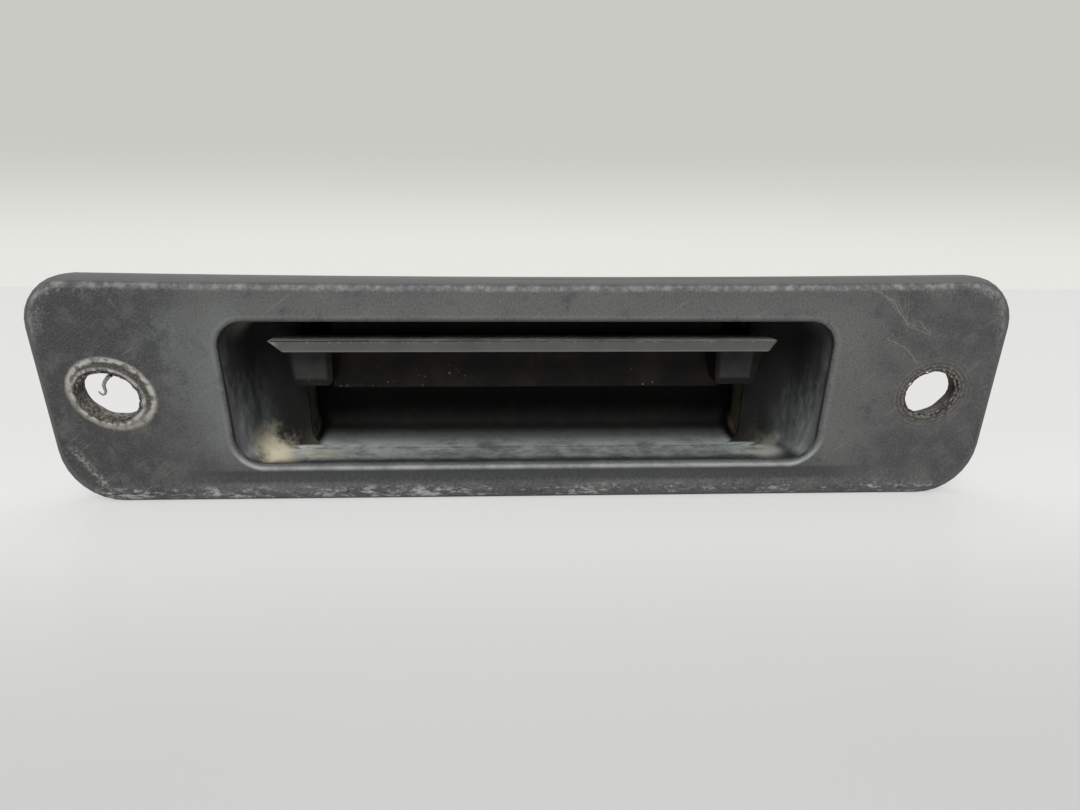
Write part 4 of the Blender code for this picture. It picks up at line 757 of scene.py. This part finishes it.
def refine(node, piece, body, slotName, rounding):
    mesh = nodes[node].data.copy()
    mesh.name = piece
    bm = bmesh.new()
    bm.from_mesh(mesh)
    bmesh.ops.remove_doubles(bm, verts=bm.verts, dist=weldGap)
    bmesh.ops.dissolve_limit(bm, angle_limit=flatTurn, use_dissolve_boundaries=False,
                             verts=bm.verts, edges=bm.edges, delimit=set())
    if node == "lever":
        widenTabs(bm, tabFit)
    for face in bm.faces:
        face.smooth = True
        face.material_index = 0
    for edge in bm.edges:
        edge.smooth = len(edge.link_faces) == 2 and edge.calc_face_angle(0) < edgeTurn
    bm.to_mesh(mesh)
    bm.free()
    mesh.materials.clear()
    mesh.materials.append(finishes[slotName])
    shaped = bpy.data.objects.new(piece, mesh)
    bpy.context.scene.collection.objects.link(shaped)
    bevel = shaped.modifiers.new("edges", "BEVEL")
    bevel.width = rounding * mm
    bevel.segments = 2
    bevel.limit_method = "ANGLE"
    bevel.angle_limit = edgeTurn
    bevel.use_clamp_overlap = True
    bevel.miter_outer = "MITER_ARC"
    weight = shaped.modifiers.new("shading", "WEIGHTED_NORMAL")
    weight.keep_sharp = False
    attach(shaped, body)
    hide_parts(node)


for node, row in refinedParts.items():
    refine(node, *row)
print("shells refined:", len(refinedParts))


def atPart(x, y, z):
    # millimetres from the plate's front, foot and middle
    return Vector((x * mm, y * mm + frontY, z * mm))


def drawWire(bm, points, radii, sides):
    # a round section is carried from point to point
    ring = bmesh.ops.create_circle(bm, cap_ends=True, segments=sides, radius=1.0)["verts"]
    edges = list({edge for vert in ring for edge in vert.link_edges})
    placed = Matrix.Identity(4)
    tangent = Vector((0, 0, 1))
    turn = Matrix.Identity(3)
    for index, point in enumerate(points):
        before = points[max(index - 1, 0)]
        after = points[min(index + 1, len(points) - 1)]
        heading = (after - before).normalized()
        turn = tangent.rotation_difference(heading).to_matrix() @ turn
        tangent = heading
        target = Matrix.Translation(point) @ turn.to_4x4() @ Matrix.Scale(radii[index], 4)
        if index:
            grown = bmesh.ops.extrude_edge_only(bm, edges=edges)["geom"]
            ring = [item for item in grown if isinstance(item, bmesh.types.BMVert)]
            edges = [item for item in grown if isinstance(item, bmesh.types.BMEdge)
                     and all(vert in ring for vert in item.verts)]
        bmesh.ops.transform(bm, matrix=target @ placed.inverted(), verts=ring)
        placed = target
    bmesh.ops.contextual_create(bm, geom=edges)


def finishPiece(bm, piece, body, slotName, smoothAngle=40, finish=None):
    bmesh.ops.recalc_face_normals(bm, faces=bm.faces)
    for face in bm.faces:
        face.smooth = True
    for edge in bm.edges:
        edge.smooth = len(edge.link_faces) == 2 and edge.calc_face_angle(0) < radians(smoothAngle)
    mesh = bpy.data.meshes.new(piece)
    bm.to_mesh(mesh)
    bm.free()
    mesh.materials.append(finish or finishes[slotName])
    shaped = bpy.data.objects.new(piece, mesh)
    bpy.context.scene.collection.objects.link(shaped)
    if body:
        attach(shaped, body)
    return shaped


springSize = {
    "coil": 3.6,  # mean radius, mm
    "wire": 0.5,
    "turns": 4.375,
    "stepsPerTurn": 28,
    "sides": 10,
    "across": (58.66, 64.26),
    "ledgeLeg": 19.6,  # how far back the leg on the ledge stands
    "leg": 12.0,
    "lift": 30.68,  # height of the leg under the crank
    "axis": (23.5, 37.5),  # the hinge, from the face and the foot
    "crankFace": 68.06,
}


def makeSpring(size):
    first, last = size["across"]
    axisY, axisZ = size["axis"]
    points = [atPart(first, size["ledgeLeg"], axisZ - size["leg"]),
              atPart(first, size["ledgeLeg"], axisZ - size["leg"] / 2)]
    count = round(size["stepsPerTurn"] * size["turns"])
    for step in range(count + 1):
        angle = pi - 2 * pi * size["turns"] * step / count
        points.append(atPart(first + (last - first) * step / count,
                             axisY + size["coil"] * cos(angle), axisZ + size["coil"] * sin(angle)))
    end = axisY + size["leg"]
    points.append(atPart(last, end - size["wire"], size["lift"] + size["wire"]))
    points.append(atPart(last + size["wire"], end, size["lift"]))
    points.append(atPart(size["crankFace"], end, size["lift"]))
    bm = bmesh.new()
    drawWire(bm, points, [size["wire"] * mm] * len(points), size["sides"])
    spring = finishPiece(bm, "returnSpring", None, "spring_steel")
    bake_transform(spring)
    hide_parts("return_spring")


makeSpring(springSize)
print("return spring wound")


holeWear = {
    "curl": [(-93.2, 29.4), (-94.0, 28.9), (-94.8, 28.0), (-95.3, 27.0), (-95.2, 26.2),
             (-95.1, 25.5), (-95.4, 24.9), (-95.9, 24.7), (-96.4, 24.9), (-96.9, 25.4)],
    "curlDepth": 2.4,
    "curlSlant": 0.12,  # each point lies this much deeper than the last
    "curlRadius": 0.40,
    "curlTaper": (1.25, 0.09),
    "curlSides": 7,
    "burrs": (  # piece, hole, share of its size, thickness, seed
        ("leftHoleBurr", leftHole, 0.97, 0.46, 3),
        ("rightHoleBurr", rightHole, 0.975, 0.44, 11),
    ),
    "ring": 6.0,  # mm, a burr is spun on this radius and then stretched to its hole
    "burrSides": 6,
    "burrSteps": 110,
    "burrDepth": 0.45,  # behind the face
    "burrFront": -0.05,
    "thinnest": 0.25,
    "coarse": (3.1, 0.9, 0.09),  # noise scale, effect on the thickness, effect on the reach
    "fine": (11, 0.8, 0.075),
    "fineDepth": 0.25,
    "smoothAngle": 60,
}


tornEdge = tornPlastic("tornEdge")


def makeBurr(wear, piece, hole, share, thick, seed):
    # a torn lip round the hole's mouth
    ring = wear["ring"]
    bm = bmesh.new()
    section = bmesh.ops.create_circle(bm, cap_ends=False, segments=wear["burrSides"],
                                      radius=thick)["verts"]
    bmesh.ops.rotate(bm, verts=section, cent=(0, 0, 0), matrix=Matrix.Rotation(pi / 2, 3, "X"))
    bmesh.ops.translate(bm, verts=section, vec=(ring, 0, 0))
    bmesh.ops.spin(bm, geom=bm.verts[:] + bm.edges[:], cent=(0, 0, 0), axis=(0, 1, 0),
                   dvec=(0, 0, 0), angle=2 * pi, steps=wear["burrSteps"], use_merge=True,
                   use_duplicate=False)
    bmesh.ops.remove_doubles(bm, verts=bm.verts, dist=1e-4)
    halfX, halfZ = hole["half"]
    coarseScale, coarseSwell, coarseReach = wear["coarse"]
    fineScale, fineSwell, fineReach = wear["fine"]
    for vert in bm.verts:
        angle = atan2(vert.co.z, vert.co.x)
        out = sqrt(vert.co.x ** 2 + vert.co.z ** 2) - ring
        torn = noise.noise(Vector((cos(angle) * coarseScale, sin(angle) * coarseScale, seed)))
        finer = noise.noise(Vector((cos(angle) * fineScale, sin(angle) * fineScale, seed + 4)))
        swell = max(wear["thinnest"], 1.0 + coarseSwell * torn + fineSwell * finer)
        reach = share + coarseReach * torn + fineReach * finer
        depth = wear["burrDepth"] + vert.co.y * swell + wear["fineDepth"] * finer
        push = out * swell
        vert.co = Vector(((halfX * reach + push) * cos(angle), max(depth, wear["burrFront"]),
                          (halfZ * reach + push) * sin(angle)))
    turned = Matrix.Rotation(radians(-hole["turn"]), 3, "Y")
    bmesh.ops.rotate(bm, verts=bm.verts, cent=(0, 0, 0), matrix=turned)
    bmesh.ops.translate(bm, verts=bm.verts, vec=(hole["middle"][0], 0, hole["middle"][1]))
    bmesh.ops.scale(bm, vec=(mm, mm, mm), verts=bm.verts)
    bmesh.ops.translate(bm, verts=bm.verts, vec=(0, frontY, 0))
    finishPiece(bm, piece, "bezel_body", "weathered_black_plastic", wear["smoothAngle"], tornEdge)


def makeCurl(wear):
    thick, taper = wear["curlTaper"]
    points = [atPart(x, wear["curlDepth"] + wear["curlSlant"] * index, z)
              for index, (x, z) in enumerate(wear["curl"])]
    radii = [wear["curlRadius"] * (thick - taper * index) * mm for index in range(len(points))]
    bm = bmesh.new()
    drawWire(bm, points, radii, wear["curlSides"])
    finishPiece(bm, "holeSwarf", "bezel_body", "lever_black_plastic")


for row in holeWear["burrs"]:
    makeBurr(holeWear, *row)
makeCurl(holeWear)
print("hole edges torn")


studio = {
    "floorColour": (0.58, 0.58, 0.572),
    "floorRough": 0.28,
    "floorShine": 0.3,
    "floorHalf": 2.5,
    "floorBack": 0.376,  # where the table meets the wall
    "nearSeen": (0.86, 0.86, 0.85),  # painted light on the table as the camera sees it: by the part,
    "farSeen": (0.83, 0.83, 0.815),  # behind it
    "foreSeen": (0.53, 0.53, 0.52),  # and in the foreground
    "seenShare": 0.6,
    "foreFade": (-0.125, -0.015),  # metres along Y
    "farFade": (-0.020, 0.030),
    "wallLow": (0.80, 0.80, 0.765),
    "wallHigh": (0.588, 0.591, 0.556),
    "wallFade": (-0.085, 0.045),  # the view's own rise, from the wall's low tone to its high one
    "worldColour": (1.0, 1.0, 0.99),
    "worldLight": 0.34,
    "frontShare": 0.20,  # the room in front of the part is darker
    "frontFade": (-0.55, 0.25),
}


def makeTable(setup):
    half = setup["floorHalf"]
    bm = bmesh.new()
    bmesh.ops.create_grid(bm, x_segments=2, y_segments=2, size=half)
    bmesh.ops.translate(bm, verts=bm.verts, vec=(0, setup["floorBack"] - half, 0))
    mesh = bpy.data.meshes.new("tableTop")
    bm.to_mesh(mesh)
    bm.free()
    table = bpy.data.objects.new("tableTop", mesh)
    bpy.context.scene.collection.objects.link(table)
    made = bpy.data.materials.new("tableTop")
    made.use_nodes = True
    shader = made.node_tree.nodes["Principled BSDF"]
    shader.inputs["Base Color"].default_value = (*setup["floorColour"], 1)
    shader.inputs["Roughness"].default_value = setup["floorRough"]
    shader.inputs["Specular IOR Level"].default_value = setup["floorShine"]
    tree = made.node_tree
    pale = tree.nodes.new("ShaderNodeEmission")
    coords = tree.nodes.new("ShaderNodeTexCoord")
    _, depth, _ = split(tree, coords.outputs["Object"])
    # painted light: the table is brightest by the part and darker in the foreground
    seen = tint(tree, fade(tree, depth, *setup["foreFade"]), setup["foreSeen"], setup["nearSeen"])
    seen = tint(tree, fade(tree, depth, *setup["farFade"]), seen, setup["farSeen"])
    put(tree, pale.inputs["Color"], seen)
    path = tree.nodes.new("ShaderNodeLightPath")
    mix = tree.nodes.new("ShaderNodeMixShader")
    ownLook = calc(tree, "MULTIPLY", path.outputs["Is Camera Ray"], setup["seenShare"])
    put(tree, mix.inputs[0], ownLook)
    tree.links.new(shader.outputs[0], mix.inputs[1])
    tree.links.new(pale.outputs[0], mix.inputs[2])
    tree.links.new(mix.outputs[0], tree.nodes["Material Output"].inputs["Surface"])
    mesh.materials.append(made)


def makeRoom(setup):
    world = bpy.data.worlds.new("paleRoom")
    bpy.context.scene.world = world
    world.use_nodes = True
    tree = world.node_tree
    coords = tree.nodes.new("ShaderNodeTexCoord")
    _, depth, rise = split(tree, coords.outputs["Generated"])
    room = fade(tree, depth, *setup["frontFade"], setup["frontShare"], 1.0)
    light = tree.nodes["Background"]
    light.inputs["Color"].default_value = (*setup["worldColour"], 1)
    put(tree, light.inputs["Strength"], both(tree, room, setup["worldLight"]))
    seen = tree.nodes.new("ShaderNodeBackground")
    # painted light on the wall: paler low down, darker higher up
    wall = tint(tree, fade(tree, rise, *setup["wallFade"]), setup["wallLow"], setup["wallHigh"])
    put(tree, seen.inputs["Color"], wall)
    path = tree.nodes.new("ShaderNodeLightPath")
    shown = most(tree, path.outputs["Is Camera Ray"], path.outputs["Is Transmission Ray"],
                 path.outputs["Is Glossy Ray"])
    mirrored = calc(tree, "MULTIPLY", path.outputs["Is Glossy Ray"],
                    calc(tree, "SUBTRACT", 1.0, room))
    put(tree, seen.inputs["Strength"], calc(tree, "SUBTRACT", 1.0, mirrored))
    mix = tree.nodes.new("ShaderNodeMixShader")
    put(tree, mix.inputs[0], shown)
    tree.links.new(light.outputs[0], mix.inputs[1])
    tree.links.new(seen.outputs[0], mix.inputs[2])
    tree.links.new(mix.outputs[0], tree.nodes["World Output"].inputs["Surface"])


lamps = {  # place, aim, size, watts
    "windowLamp": ((-0.15, -1.85, 1.90), (0.0, 0.0, 0.02), 1.6, 60.0),
    "ceilingLamp": ((0.05, 0.25, 2.50), (0.0, 0.05, 0.0), 1.8, 34.0),
    "backLamp": ((0.10, 1.60, 2.10), (0.0, 0.15, 0.0), 1.8, 6.0),
}


def makeLamps(rows):
    for name, (place, aim, size, watts) in rows.items():
        data = bpy.data.lights.new(name, "AREA")
        data.energy = watts
        data.size = size
        lamp = bpy.data.objects.new(name, data)
        bpy.context.scene.collection.objects.link(lamp)
        lamp.location = place
        lamp.rotation_euler = (Vector(aim) - Vector(place)).to_track_quat("-Z", "Y").to_euler()


makeTable(studio)
makeRoom(studio)
makeLamps(lamps)
bpy.context.scene.view_settings.view_transform = "Standard"
print("table, wall colour and lamps placed")
